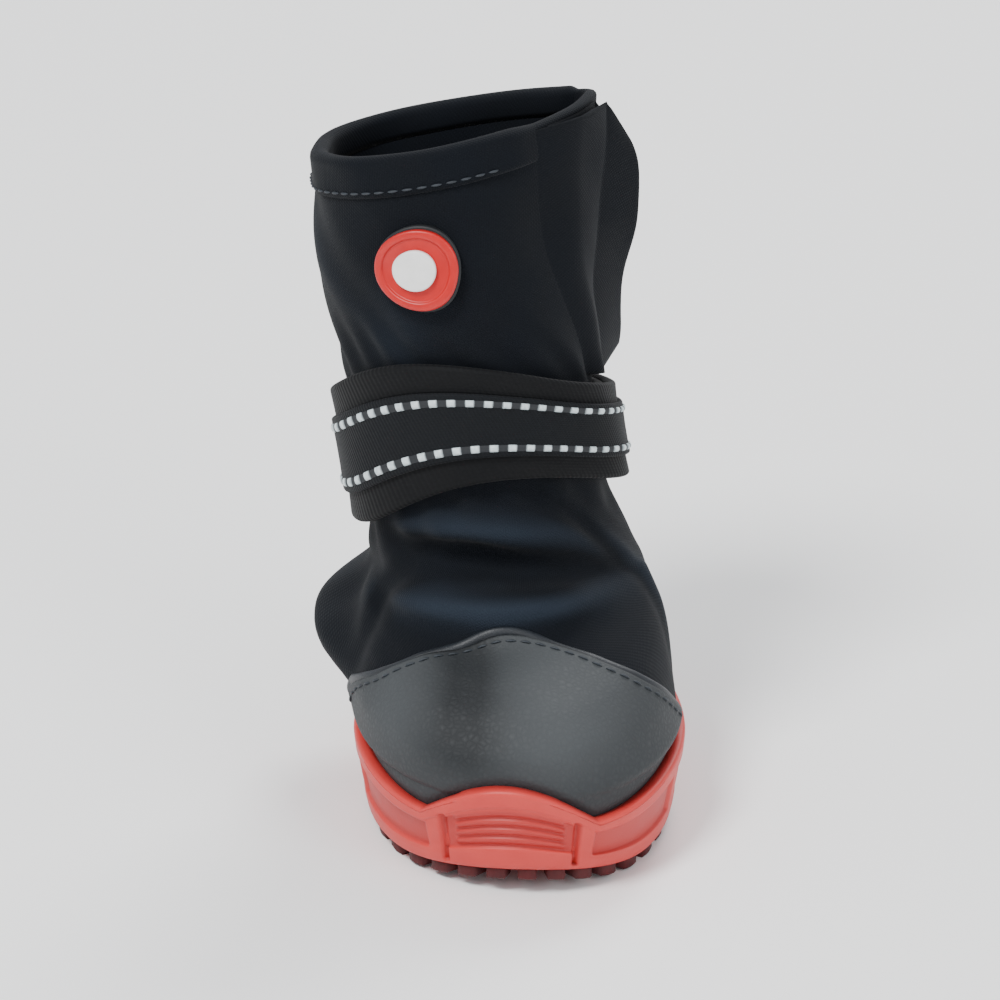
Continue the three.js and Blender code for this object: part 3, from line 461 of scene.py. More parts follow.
def closed_mesh(name, loops, wraps=False, poles=None, uv=None):
    """A closed mesh from loops of points, each loop joined to the next, as a grid of
    (pieces, loops, points of a loop, 3). The last loop joins the first where it wraps, and
    otherwise each end closes on a pole, by default the middle of its loop."""
    loops = np.asarray(loops, dtype=float)
    loops = loops[None] if loops.ndim == 3 else loops
    pieces, rows, columns = loops.shape[:3]

    def corners(*places):
        """Grid places (row, column) and point numbers for the corners of each face."""
        grid = np.stack([np.stack(np.broadcast_arrays(*place), -1) for place in places], 1)
        return grid, grid[..., 0] % rows * columns + grid[..., 1] % columns

    row, column = (index.ravel() for index in np.indices((rows if wraps else rows - 1, columns)))
    quad_corners = ((row, column), (row + 1, column), (row + 1, column + 1), (row, column + 1))
    grids, faces = ([part] for part in corners(*quad_corners))
    points = loops.reshape(pieces, rows * columns, 3)
    if not wraps:
        middles = np.stack([loops[:, 0].mean(1), loops[:, -1].mean(1)], 1)
        points = np.concatenate([points, middles if poles is None else np.array([poles])], 1)
        here, after = np.arange(columns), np.arange(columns) + 1
        for pole, end, sides in ((0, 0, (here, here, after)), (1, rows - 1, (here, after, here))):
            grid, fan = corners(*((end, side) for side in sides))
            fan[:, 0] = rows * columns + pole
            grids.append(grid)
            faces.append(fan)
    if enclosed_volume(points[0], faces) < 0:
        grids, faces = [grid[:, ::-1] for grid in grids], [face[:, ::-1] for face in faces]
    offsets = np.arange(pieces)[:, None, None] * points.shape[1]
    faces = [face for part in faces for face in (part + offsets).reshape(-1, part.shape[1]).tolist()]
    mesh = bpy.data.meshes.new(name)
    mesh.from_pydata((points.reshape(-1, 3) * MM).tolist(), [], faces)
    if pieces == 1:
        along, across = uv or grid_lengths(loops[0], wraps)
        picked = np.concatenate([grid.reshape(-1, 2) for grid in grids])
        flat = np.stack([along[picked[:, 0]], across[picked[:, 1]]], -1) * MM
        mesh.uv_layers.new(name="lengths").data.foreach_set("uv", flat.ravel())
    mesh.polygons.foreach_set("use_smooth", np.ones(len(mesh.polygons), dtype=bool))
    mesh.update()
    piece = bpy.data.objects.new(name, mesh)
    bpy.context.scene.collection.objects.link(piece)
    return piece


def enclosed_volume(points, faces):
    """Six times the volume: the sum of a . (b x c) over the triangles, with quads halved."""
    quads, *fans = faces
    triangles = np.concatenate([quads[:, [0, 1, 2]], quads[:, [0, 2, 3]], *fans])
    a, b, c = (points[triangles[:, corner]] for corner in range(3))
    return np.sum(a * np.cross(b, c))


def grid_lengths(loops, wraps):
    """Lengths along the middle row and column of a grid, in millimetres."""
    column = loops[:, loops.shape[1] // 2]
    row = loops[loops.shape[0] // 2]
    if wraps:
        column = np.concatenate([column, column[:1]])
    return lengths_along(column), lengths_along(np.concatenate([row, row[:1]]))


def finish(piece, material, slot, *nodes):
    """Gives a piece its material and its body, and hides the model's parts that it stands for. The
    slot is not used.
    """
    piece.data.materials.append(material)
    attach(piece, "root")
    if nodes:
        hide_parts(*nodes)
    return piece


def paint(piece, name, values):
    """Puts one number for each vertex into an attribute that a material reads."""
    attribute = piece.data.attributes.new(name, "FLOAT", "POINT")
    attribute.data.foreach_set("value", np.asarray(values, dtype=np.float32).ravel())


def turns(count):
    """Angles round the boot, evenly spaced, without the last that meets the first."""
    return np.arange(count) * FULL_TURN / count


# Sole

def spring(y):
    """Lift of the underside: a square law over the last stretch at toe and heel."""
    toe = np.clip((-y - 0.27 * SOLE_LENGTH) / (0.23 * SOLE_LENGTH), 0, 1)
    heel = np.clip((y - 0.33 * SOLE_LENGTH) / (0.17 * SOLE_LENGTH), 0, 1)
    return TOE_SPRING * toe ** 2 + HEEL_SPRING * heel ** 2


def sole_point(angle, inset):
    """The sole's outline, moved in square to itself."""
    along, across = ring_point(SOLE_RING, angle)
    along_before, across_before = ring_point(SOLE_RING, angle - STEP)
    along_after, across_after = ring_point(SOLE_RING, angle + STEP)
    out = unit(np.stack([along_after - along_before, across_before - across_after], -1))
    return np.stack([across - out[..., 0] * inset, along - out[..., 1] * inset], -1)


def front_angle_at(offset):
    """The angle at which the front of the outline is an offset off the middle line."""
    return math.asin((offset / SOLE_RING["wide"]) ** (1 / SOLE_RING["full"]))


def off_toe(angle):
    """The size of the angle from the toe, the same on both sides."""
    return np.abs(np.arctan2(np.sin(angle), np.cos(angle)))


def rim_height(angle):
    """The rim: a cosine bump over the toe between two notches, level at the sides, and a
    smooth rise at the heel."""
    notch = front_angle_at(TOE_BUMP_WIDTH / 2)
    inside = np.clip(off_toe(angle) / notch, 0, 1)
    bump = TOE_BUMP_RISE * np.cos(inside * math.pi / 2)
    dip = RIM_NOTCH_DROP * (1 - ramp(off_toe(angle), notch, math.radians(80)))
    return RIM_HEIGHT - dip + bump + HEEL_RIM_RISE * ramp(off_toe(angle), math.radians(135), math.pi)


def wall_height(angle, y, share):
    """Height on the side wall, from its bevel (0) to the rim (1)."""
    foot = LUG_DEPTH + spring(y) + SOLE_EDGE_ROUND * 0.5
    return foot + share * (rim_height(angle) - foot)


SIDE_PANELS = ((30, 72), (80, 150))
PANEL_EDGE = math.radians(0.7)
WALL_SHARES = np.linspace(0.03, 0.94, 64)
UNDERSIDE_INSETS = (30, 20, EDGE_LUG_REACH + 3, 7)
INNER_WALL_DROPS = (0, 0.4, 1.5, 4, 8)
FLOOR_INSETS = (4.8, 9.6, 15.5, 24)
EDGE_TURNS = np.linspace(0, math.pi / 2, 6)


def wall_panel(angle, share):
    """1 inside a sunk panel of the side wall and 0 outside it, with soft edges."""
    def past(line):
        return ramp(off_toe(angle), line - PANEL_EDGE, line + PANEL_EDGE)
    inside = 1 - past(front_angle_at(BUMPER_WIDTH / 2))
    for start, end in np.radians(SIDE_PANELS):
        inside = inside + past(start) * (1 - past(end))
    return inside * ramp(share, 0.2, 0.25) * (1 - ramp(share, 0.7, 0.75))


def wall_ribs(angle, share):
    """1 on the bumper's ribs: bells of height at an even pitch, ending inside the grooves."""
    end = front_angle_at(BUMPER_WIDTH / 2 - GROOVE_WIDTH * 2)
    pitch = BUMPER_RIB_PITCH / TOE_WALL
    ribs = np.zeros(np.broadcast(angle, share).shape)
    for index in range(BUMPER_RIB_COUNT):
        middle = 0.3 + (index + 0.18) * pitch
        ribs = ribs + np.exp(-(((share - middle) / (0.3 * pitch)) ** 4))
    return ribs * (1 - ramp(off_toe(angle), end - 0.02, end + 0.01))


def wall_grooves(angle, share):
    """1 in the two upright grooves beside the bumper panel."""
    half = GROOVE_WIDTH / 2 / (SOLE_RING["wide"] * 0.95)
    away = off_toe(angle) - front_angle_at(BUMPER_WIDTH / 2)
    return np.exp(-((away / half) ** 4)) * (1 - ramp(share, 0.74, 0.82))


def wall_inset(angle, share):
    """How far the side wall stands inside the outline: the taper, most at the foot, a step
    under the rim's band, the panels, the grooves, and the ribs taken off again."""
    taper = SOLE_TAPER * (1 - share) ** 1.4
    step = 0.3 * (1 - ramp(share, 0.76, 0.79)) * ramp(share, 0.1, 0.3)
    panel = SIDE_PANEL_DEPTH * wall_panel(angle, share)
    sunk = np.maximum(panel, GROOVE_DEPTH * wall_grooves(angle, share))
    return taper + step + sunk - BUMPER_RIB_SIZE * 0.75 * wall_ribs(angle, share)


def sole_loop(angles, inset, height_at):
    """A loop of the sole at an inset, with heights worked out from angle and place."""
    flat = sole_point(angles, inset)
    heights = height_at(angles, flat[..., 1])
    return np.concatenate([flat, np.broadcast_to(heights, angles.shape)[..., None]], -1)


def cup_wall_loop(angles, height_at):
    """A loop of the cup's inner wall, which follows the upper with the clearance."""
    reach = off_skin(angles, level_at_height(angles, SEAT + TOE_SPRING), FIT)
    heights = np.broadcast_to(height_at(angles, reach[..., 1]), angles.shape)
    wall = off_skin(angles, level_at_height(angles, heights), FIT)
    return np.concatenate([wall[..., :2], heights[..., None]], -1)


def cup_loops(angles):
    """The cup from the middle of its underside, up the side wall, over the rim and down the
    inner wall to the middle of its floor."""
    def under(lift):
        return lambda angle, y: LUG_DEPTH + spring(y) + lift

    def below_rim(drop):
        return lambda angle, y: rim_height(angle) - drop

    def on_wall(share):
        return lambda angle, y: wall_height(angle, y, share)

    floor = under(SOLE_FLOOR)
    outside = [(inset, under(0)) for inset in UNDERSIDE_INSETS]
    for turn in EDGE_TURNS:
        lift = SOLE_EDGE_ROUND * 0.5 * (1 - math.cos(turn))
        outside.append((SOLE_EDGE_ROUND * (1 - math.sin(turn)) + SOLE_TAPER, under(lift)))
    outside += [(wall_inset(angles, share), on_wall(share)) for share in WALL_SHARES]
    for turn in EDGE_TURNS:
        inset = 0.05 + RIM_ROUND * (1 - math.cos(turn))
        outside.append((inset, below_rim(RIM_ROUND * (1 - math.sin(turn)))))
    inside = [*(below_rim(drop) for drop in INNER_WALL_DROPS), floor]
    loops = [sole_loop(angles, inset, height_at) for inset, height_at in outside]
    loops += [cup_wall_loop(angles, height_at) for height_at in inside]
    loops += [sole_loop(angles, CUP_INSET + inset, floor) for inset in FLOOR_INSETS]
    return np.array(loops)


def lug_loops(outline, root=1.2, edge=0.45):
    """A lug for each outline of (x, y): its face, a bevelled edge, and its root in the sole."""
    middle = outline.mean(1, keepdims=True)
    size = np.abs(outline - middle).max((1, 2), keepdims=True)
    face = middle + (outline - middle) * (1 - edge / size)
    flats = np.stack([face, outline, outline, outline], 1)
    lifts = np.array([0, edge, LUG_DEPTH * 0.6, LUG_DEPTH + root])[:, None]
    return np.concatenate([flats, (spring(flats[..., 1]) + lifts)[..., None]], -1)


def edge_lug_outlines():
    """Blocks all round the outline, each over a share of its pitch."""
    middle = ((np.arange(EDGE_LUG_COUNT) + 0.5) / EDGE_LUG_COUNT * FULL_TURN)[:, None]
    half = EDGE_LUG_SHARE * FULL_TURN / EDGE_LUG_COUNT / 2
    across = np.array([[-1, -0.4, 0, 0.4, 1, 0.8, 0, -0.8]]) * half
    edge = SOLE_TAPER + SOLE_EDGE_ROUND * 0.6
    inset = np.array([[edge, edge - 0.2, edge - 0.3, edge - 0.2, edge] + [EDGE_LUG_REACH] * 3])
    return sole_point(middle + across, inset)


def middle_lug_outlines():
    """Arrow heads in rows across the sole, one of them at the origin."""
    room = EDGE_LUG_REACH + LUG_GAP
    rows = math.floor((HALF_LENGTH - room - LUG_LENGTH / 2) / (LUG_LENGTH + LUG_GAP))
    columns = math.floor((SOLE_WIDTH / 2 - room) / (LUG_WIDTH + LUG_GAP)) + 1
    arrow = np.array([[-0.5, -0.35], [0, -0.5], [0.5, -0.35], [0.5, 0.5], [0, 0.3], [-0.5, 0.5]])
    column, row = np.meshgrid(np.arange(-columns, columns + 1), np.arange(-rows, rows + 1))
    size = np.array([LUG_WIDTH, LUG_LENGTH])
    centres = np.stack([column, row], -1).reshape(-1, 1, 2) * (size + LUG_GAP)
    outlines = centres + arrow * size
    return outlines[inside_sole(outlines, room).all(1)]


def inside_sole(points, inset):
    """Whether each point lies inside the outline moved in: an odd number of crossings."""
    outline = sole_point(turns(112), inset)
    a, b = outline, np.roll(outline, -1, axis=0)
    x, y = points[..., 0, None], points[..., 1, None]
    spans = (a[:, 1] > y) != (b[:, 1] > y)
    rise = np.where(b[:, 1] == a[:, 1], 1, b[:, 1] - a[:, 1])
    crossing = a[:, 0] + (y - a[:, 1]) / rise * (b[:, 0] - a[:, 0])
    return np.sum(spans & (crossing > x), -1) % 2 == 1


def insole_loops(angles):
    """A pad that fills the floor, with a rounded top edge and a slight dish."""
    def loop(inset, lift):
        level = level_at_height(angles, SEAT + TOE_SPRING)
        edge = off_skin(angles, level, -UPPER_WALL - FIT - inset)
        return np.concatenate([edge[..., :2], (SEAT + spring(edge[..., 1]) + lift)[..., None]], -1)
    top = FIT + INSOLE_THICKNESS
    under = [loop(inset, FIT) for inset in (20, 10, 4, 0)]
    side = [loop(0, top - 1.1), loop(0.15, top - 0.6), loop(0.55, top - 0.2), loop(1.2, top)]
    face = [loop(inset, top - 0.5 * ramp(inset, 1, 12)) for inset in (2.5, 4, 7, 11, 16, 20, 24)]
    return np.array(under + side + face)


# Upper

def rolled_edge(first_face, second_face, onward, steps):
    """Points over an edge from one face to the other: cosine times half the thickness
    between them, and sine times how far the edge stands on."""
    middle = (first_face + second_face) / 2
    turn = np.linspace(0, math.pi, steps)[1:-1][None, :, None]
    return middle + (first_face - middle) * np.cos(turn) + onward * np.sin(turn)


def last_step(loops):
    """The direction in which the last points of the loops run on."""
    return unit(loops[:, -1:] - loops[:, -2:-1])


def even_levels(low, high, count):
    """Levels whose sections are evenly spaced in height."""
    rows = np.arange(len(section_rows))
    heights = section_values[:, 0]
    ends = np.interp([low, high], rows, heights)
    return np.interp(np.linspace(*ends, count), heights, rows)


def upper_loops(angles):
    """The wall of the upper: for each angle, up the outside, over the rounded collar and
    down the inside."""
    angle = angles[:, None]
    reach = skin(angle, np.full_like(angle, RIM_ROW * 0.5))
    hem = level_at_height(angle, SEAT + spring(reach[..., 1]) + FIT)
    below = hem + (RIM_ROW - hem) * np.linspace(0, 1, 6)[:-1]

    def face(rows, distance):
        above = np.broadcast_to(even_levels(RIM_ROW, COLLAR_ROW, rows), (len(angles), rows))
        return on_cloth(angle, np.concatenate([below, above], 1), distance)

    outside, inside = face(190, 0.0), face(70, -UPPER_WALL)[:, ::-1]
    rim = rolled_edge(outside[:, -1:], inside[:, :1], last_step(outside) * UPPER_WALL * 0.4, 7)
    return np.concatenate([outside, rim, inside], 1)


cap_top = skin(0.0, level_where(0.0, lambda points: points[..., 1], CAP_TOP_SETBACK - HALF_LENGTH))
cap_end = np.array([0, CAP_SIDE_SETBACK - HALF_LENGTH, RIM_HEIGHT])
cap_slope = unit((cap_top - cap_end) * (0, 1, 1))
cap_behind = np.array([0, cap_slope[2], -cap_slope[1]])


def behind_cap(points):
    """Distance behind the sloping plane at the toe cap's rear edge, which bows forwards
    between its middle and its ends by 4 share (1 - share), share being (x / half width)^2."""
    share = np.clip(2 * points[..., 0] / SOLE_WIDTH, -1, 1) ** 2
    return (points - cap_end) @ cap_behind + CAP_BOW * 4 * share * (1 - share)


def cap_reach(side):
    """The angle on one side at which the cap's rear edge meets the sole's rim."""
    angles = side * np.linspace(1.0, 2.2, 600)
    rim = skin(angles, level_at_height(angles, rim_height(angles)))
    return angles[np.argmax(behind_cap(rim) > 0)]


CAP_SWELLS = ((-42, 16, 1.1), (20, 24, 1.3), (-13, 14, -1.5))
CAP_SWELL_SHARE = 0.6


def cap_valley(angle, height):
    """A shallow valley down the cap's front between two swells, as if pressed from above:
    a bell of the angle for each (middle, reach, size)."""
    degrees = np.degrees(angle)
    relief = sum(size * bell(degrees - middle, reach) for middle, reach, size in CAP_SWELLS)
    return relief * ramp(height, RIM_HEIGHT + 3, RIM_HEIGHT + 14)


def toe_cap_loops():
    """The cap's skin: for each angle, up its outside from behind the sole's rim to the rear
    edge, and down its inside. Its thickness fades where it tucks into the sole."""
    angle = np.linspace(cap_reach(-1), cap_reach(1), 240)[:, None]
    tucked = level_at_height(angle, rim_height(angle) - 1.6)
    edge = level_where(angle, behind_cap, 0.4)
    share = np.linspace(0, 1, 90)[None]
    level = tucked + np.maximum(edge - tucked, 0.001) * share
    height = skin(angle, level)[..., 2]
    thickness = CAP_THICKNESS * ramp(height - rim_height(angle), -1.4, 2.4)
    swell = CAP_SWELL_SHARE * cap_valley(angle, height)
    outside = on_cloth(angle, level, FIT - 0.1 + thickness + swell)
    inside = on_cloth(angle, level[:, ::6], FIT - 0.25)[:, ::-1]
    return np.concatenate([outside, inside], 1)


def binding_loops():
    """A rolled edge over the cap's rear: a half round across the strip, its foot sunk in
    the cloth."""
    angle = np.linspace(cap_reach(-1) * 1.03, cap_reach(1) * 1.03, 260)[:, None]
    turn = np.linspace(math.pi, 0, 13)
    across = 0.1 + BINDING_WIDTH * (1 + np.cos(turn)) / 2
    rise = BINDING_THICKNESS * np.sin(turn) ** 0.7 - 0.35
    level = level_where(angle, behind_cap, across[None])
    tucks = ramp(skin(angle, level)[..., 2] - rim_height(angle), -1.0, 1.8)
    return on_cloth(angle, level, FIT - 0.2 + rise[None] * tucks)


def hem_loops():
    """The collar's hem: up from its sewn edge, over the collar and a little way down the
    inside, then back under itself. It fades into the cloth at both ends."""
    first, last = math.radians(HEM_START), math.radians(FLAP_START - 3)
    angle = np.linspace(first, last, 250)[:, None]
    fade = ramp(angle, first, first + 0.2) * (1 - ramp(angle, last - 0.3, last))
    top = skin(angle, np.full_like(angle, COLLAR_ROW))[..., 2]
    drops = np.linspace(HEM_HEIGHT, 0, 14)[None]
    level = level_at_height(angle, top - drops)
    swell = np.sqrt(np.clip(1 - np.clip(1 - (HEM_HEIGHT - drops) / 1.3, 0, 1) ** 2, 0, 1))
    outside = on_cloth(angle, level, -0.15 + (FIT + HEM_THICKNESS) * swell * fade)
    inner_level = level_at_height(angle, top - np.array([[0, 1.5, 3, 4.5]]))
    inside = on_cloth(angle, inner_level, -UPPER_WALL - np.array([[0.5, 0.5, 0.4, 0]]) * fade)
    rise = (1 + 0.9 * fade)[..., None]
    over = rolled_edge(outside[:, -1:], inside[:, :1], last_step(outside) * rise, 9)
    under = on_cloth(angle, level[:, ::4], -0.5)[:, ::-1]
    return np.concatenate([outside, over, inside, under[:, 1:]], 1)


def flap_reach(share):
    """How far the free edge stands off, from its foot (0) to its rounded top corner (1)."""
    corner = np.sqrt(1 - np.clip((share - 0.5) / 0.5, 0, 1) ** 2)
    return FLAP_REACH * (1 - FLAP_TAPER * share) * (0.06 + 0.94 * corner)


def flap_level(angle, share):
    """The level at a share of the way from the strap to the collar."""
    low = strap_height(angle) + STRAP_WIDTH / 2 + FLAP_CLEARANCE
    high = skin(angle, np.full_like(angle + share, COLLAR_ROW))[..., 2]
    level = level_at_height(angle + 0 * share, low + share * (high - low))
    return np.where(share >= 1, COLLAR_ROW, level)


def flap_loops():
    """The wrapped end of the shaft: a leaf that lies on it from its hidden start, thickens,
    leaves it along a straight line and ends in a rounded edge. Loops run from foot to top,
    each a thin slice of the leaf, out and back."""
    share = np.linspace(0, 1, 60)[:, None]
    part = np.linspace(0, 1, 34)[None]
    begins = math.radians(FLAP_START - 14)
    leaves = np.radians(FLAP_LEAVES - FLAP_TURN * (1 - share))
    lies = begins + (leaves - begins) * part
    out = np.linspace(0, 1, 16)[None, 1:]
    grows = ramp(part, 0, 0.55)

    def leaf(side):
        distance = FLAP_GAP + side * FLAP_THICKNESS
        from_under = -TUCK + grows * (TUCK + distance)
        on_shaft = on_cloth(lies, flap_level(lies, share), from_under)
        start = on_cloth(leaves, flap_level(leaves, share), distance)
        behind = off_skin(leaves - 2 * STEP, flap_level(leaves - 2 * STEP, share), distance)
        away = unit((off_skin(leaves, flap_level(leaves, share), distance) - behind) * (1, 1, 0))
        splay = math.radians(FLAP_SPLAY)
        x = away[..., 0] * math.cos(splay) + away[..., 1] * math.sin(splay)
        y = away[..., 1] * math.cos(splay) - away[..., 0] * math.sin(splay)
        away = np.stack([x, y, np.zeros_like(x)], -1)
        sag = np.array([0, 0, -FLAP_SAG]) * (share * out ** 2)[..., None]
        return on_shaft, start + away * (out * flap_reach(share))[..., None] + sag

    (outer_shaft, outer_free), (inner_shaft, inner_free) = leaf(1), leaf(0)
    onward = last_step(outer_free) * FLAP_THICKNESS / 2
    nose = rolled_edge(outer_free[:, -1:], inner_free[:, -1:], onward, 7)
    inner = np.concatenate([inner_shaft, inner_free], 1)[:, ::-1]
    return np.concatenate([outer_shaft, outer_free, nose, inner], 1)


# Ankle strap

def strap_lift(angle):
    """The strap's height off the skin: one thickness more where it laps over its start, and
    slack, by a cosine squared, at the boot's outer side."""
    over = ramp(angle, math.radians(STRAP_START + 318), math.radians(STRAP_START + 352))
    slack = (1 + np.cos(angle - math.radians(STRAP_SLACK_ANGLE))) / 2
    return FIT + 0.1 + over * (STRAP_THICKNESS + FIT) + STRAP_SLACK * slack ** 2


def strap_band(angle, across, distance):
    """The webbing round the ankle, straight from its lower to its upper edge."""
    angle, across, distance = np.broadcast_arrays(angle, across, distance)
    middle = strap_height(angle)
    low = level_at_height(angle, middle - STRAP_WIDTH / 2)
    high = level_at_height(angle, middle + STRAP_WIDTH / 2)
    off = strap_lift(angle) + distance
    share = (0.5 + across / STRAP_WIDTH)[..., None]
    return off_skin(angle, low, off) * (1 - share) + off_skin(angle, high, off) * share


def strap_run(first_degrees, columns, tail_columns, across, distance):
    """A layer of the strap: round the ankle, then off along a straight free tail whose tip
    lifts by a square law. The distance off the ankle may change from column to column."""
    distance = np.broadcast_to(distance, (columns + tail_columns, across.shape[1]))
    angle = np.radians(np.linspace(first_degrees, STRAP_LEAVES, columns))[:, None]
    start = strap_band(angle[-1:], across, distance[columns:])
    before = strap_band(angle[-1:] - 2 * STEP, across, distance[columns:])
    away = unit((start - before) * (1, 1, 0))
    out = np.linspace(0, 1, tail_columns + 1)[1:, None, None]
    tail = start + away * out * STRAP_TAIL + np.array([0, 0, 1]) * STRAP_TAIL_LIFT * out ** 2
    return np.concatenate([strap_band(angle, across, distance[:columns]), tail])


def rounded_strip(width, low, high, edge, steps=4):
    """A closed profile of (across, distance) for a flat strip with half-round edges."""
    half, middle, thick = width / 2, (low + high) / 2, (high - low) / 2
    turn = np.linspace(0, math.pi, 2 * steps + 1)
    right = np.stack([half - edge + edge * np.sin(turn), middle + thick * np.cos(turn)], -1)
    flat = np.linspace(-1, 1, 9)[1:-1] * (half - edge)
    lower = np.stack([flat[::-1], np.full_like(flat, low)], -1)
    left = np.stack([-right[:, 0], right[:, 1]], -1)[::-1]
    upper = np.stack([flat, np.full_like(flat, high)], -1)
    return np.concatenate([right, lower, left, upper])


def strap_layer(first_degrees, columns, profile):
    """A layer with the same profile all along."""
    return strap_run(first_degrees, columns, TAIL_COLUMNS, profile[:, 0][None], profile[:, 1][None])


def reflective_line(side):
    """A woven line whose yarn swells into a row of dashes: height and colour follow the
    length along the strap, and the dashes' ends stand square to it."""
    middle, face = side * LINE_SPACING / 2, RIBBON_FACE
    turn = np.linspace(0, math.pi, 7)
    across = np.concatenate([np.cos(turn), [-0.5, 0, 0.5]]) * LINE_WIDTH / 2 + middle
    rise = np.concatenate([np.sin(turn), [0, 0, 0]])
    run = (RIBBON_START, LINE_COLUMNS, LINE_TAIL_COLUMNS)
    bed = strap_run(*run, np.append(across, middle)[None], face)
    path = bed[:, -1:]
    along = unit(np.gradient(path, axis=0))
    length = lengths_along(path[:, 0])[:, None] + ((bed[:, :-1] - path) * along).sum(-1)
    phase = np.abs((length / DASH_PITCH) % 1 - 0.5) * DASH_PITCH
    dash = 1 - ramp(phase, DASH_LENGTH / 2 - 0.3, DASH_LENGTH / 2)
    swell = (0.12 + (LINE_THICKNESS - 0.05) * dash) * rise[None] - 0.05
    return strap_run(*run, across[None], face + swell), dash


# Badge

badge_angle = math.radians(BADGE_ANGLE)
badge_height = skin(badge_angle, COLLAR_ROW)[2] - BADGE_DROP
badge_level = float(level_at_height(np.array(badge_angle), badge_height))
badge_middle = skin(badge_angle, badge_level)
per_angle = (skin(badge_angle + STEP, badge_level) - badge_middle) / STEP
per_level = (skin(badge_angle, badge_level + STEP) - badge_middle) / STEP
badge_across = unit(per_angle)
badge_up = unit(per_level - badge_across * (per_level @ badge_across))


def badge_surface(radius, turn, distance):
    """A point off the shaft, at a radius and turn about the badge's middle, where the
    shaft's own two directions are aslant to each other."""
    level = radius * np.sin(turn) / (per_level @ badge_up)
    angle = (radius * np.cos(turn) - level * (per_level @ badge_across)) / np.linalg.norm(per_angle)
    return on_cloth(badge_angle + angle, badge_level + level, distance)


def badge_piece(name, profile):
    """A round piece that follows the shaft, from (radius, distance) pairs at its middle,
    out to its edge and back."""
    profile = np.array(profile)
    loops = badge_surface(profile[1:-1, :1], turns(BADGE_COLUMNS)[None], profile[1:-1, 1:])
    poles = [badge_surface(0.0, 0.0, profile[end, 1]) for end in (0, -1)]
    return closed_mesh(name, loops, poles=poles)


def edge_arc(radius, face, size, steps=5):
    """(radius, distance) pairs round a quarter-round edge, from the side to the face."""
    turn = np.linspace(0, math.pi / 2, steps)
    return [(radius - size + size * math.cos(t), face - size + size * math.sin(t)) for t in turn]


# Stitches

def stitch_row(name, path, normal):
    """A joined mesh of short thread loops, evenly spaced along a path, each a capsule that
    lies along it: the radius is the square root of 1 - share^2."""
    length = lengths_along(path)
    count = int((length[-1] - STITCH_LENGTH) // STITCH_PITCH)
    starts = STITCH_LENGTH / 2 + np.arange(count) * STITCH_PITCH

    def at(values, where):
        return np.stack([np.interp(where, length, values[:, axis]) for axis in range(3)], -1)

    middle, outward = at(path, starts), unit(at(normal, starts))
    ahead = unit(at(path, starts + 0.5) - at(path, starts - 0.5))
    sideways = np.cross(ahead, outward)
    share = np.linspace(-0.98, 0.98, 7)[:, None]
    turn = turns(8)[None]
    radius = STITCH_RADIUS * np.sqrt(1 - share ** 2)
    arch = 0.18 * (1 - share ** 2) - 0.08
    along = (share * STITCH_LENGTH / 2)[None, ..., None] * ahead[:, None, None]
    side = (radius * np.cos(turn))[None, ..., None] * sideways[:, None, None]
    lift = (arch + radius * np.sin(turn))[None, ..., None] * outward[:, None, None]
    return closed_mesh(name, middle[:, None, None] + along + side + lift)


# Materials

class Signal:
    """A shader socket. Arithmetic on it adds Math nodes."""

    def __init__(self, maker, socket):
        self.maker = maker
        self.socket = socket

    def math(self, operation, first, second=None):
        values = {0: first} if second is None else {0: first, 1: second}
        return self.maker.node("ShaderNodeMath", {"operation": operation}, values)

    def __add__(self, other):
        return self.math("ADD", self, other)

    def __sub__(self, other):
        return self.math("SUBTRACT", self, other)

    def __rsub__(self, other):
        return self.math("SUBTRACT", other, self)

    def __mul__(self, other):
        return self.math("MULTIPLY", self, other)

    def sine(self):
        return self.math("SINE", self)


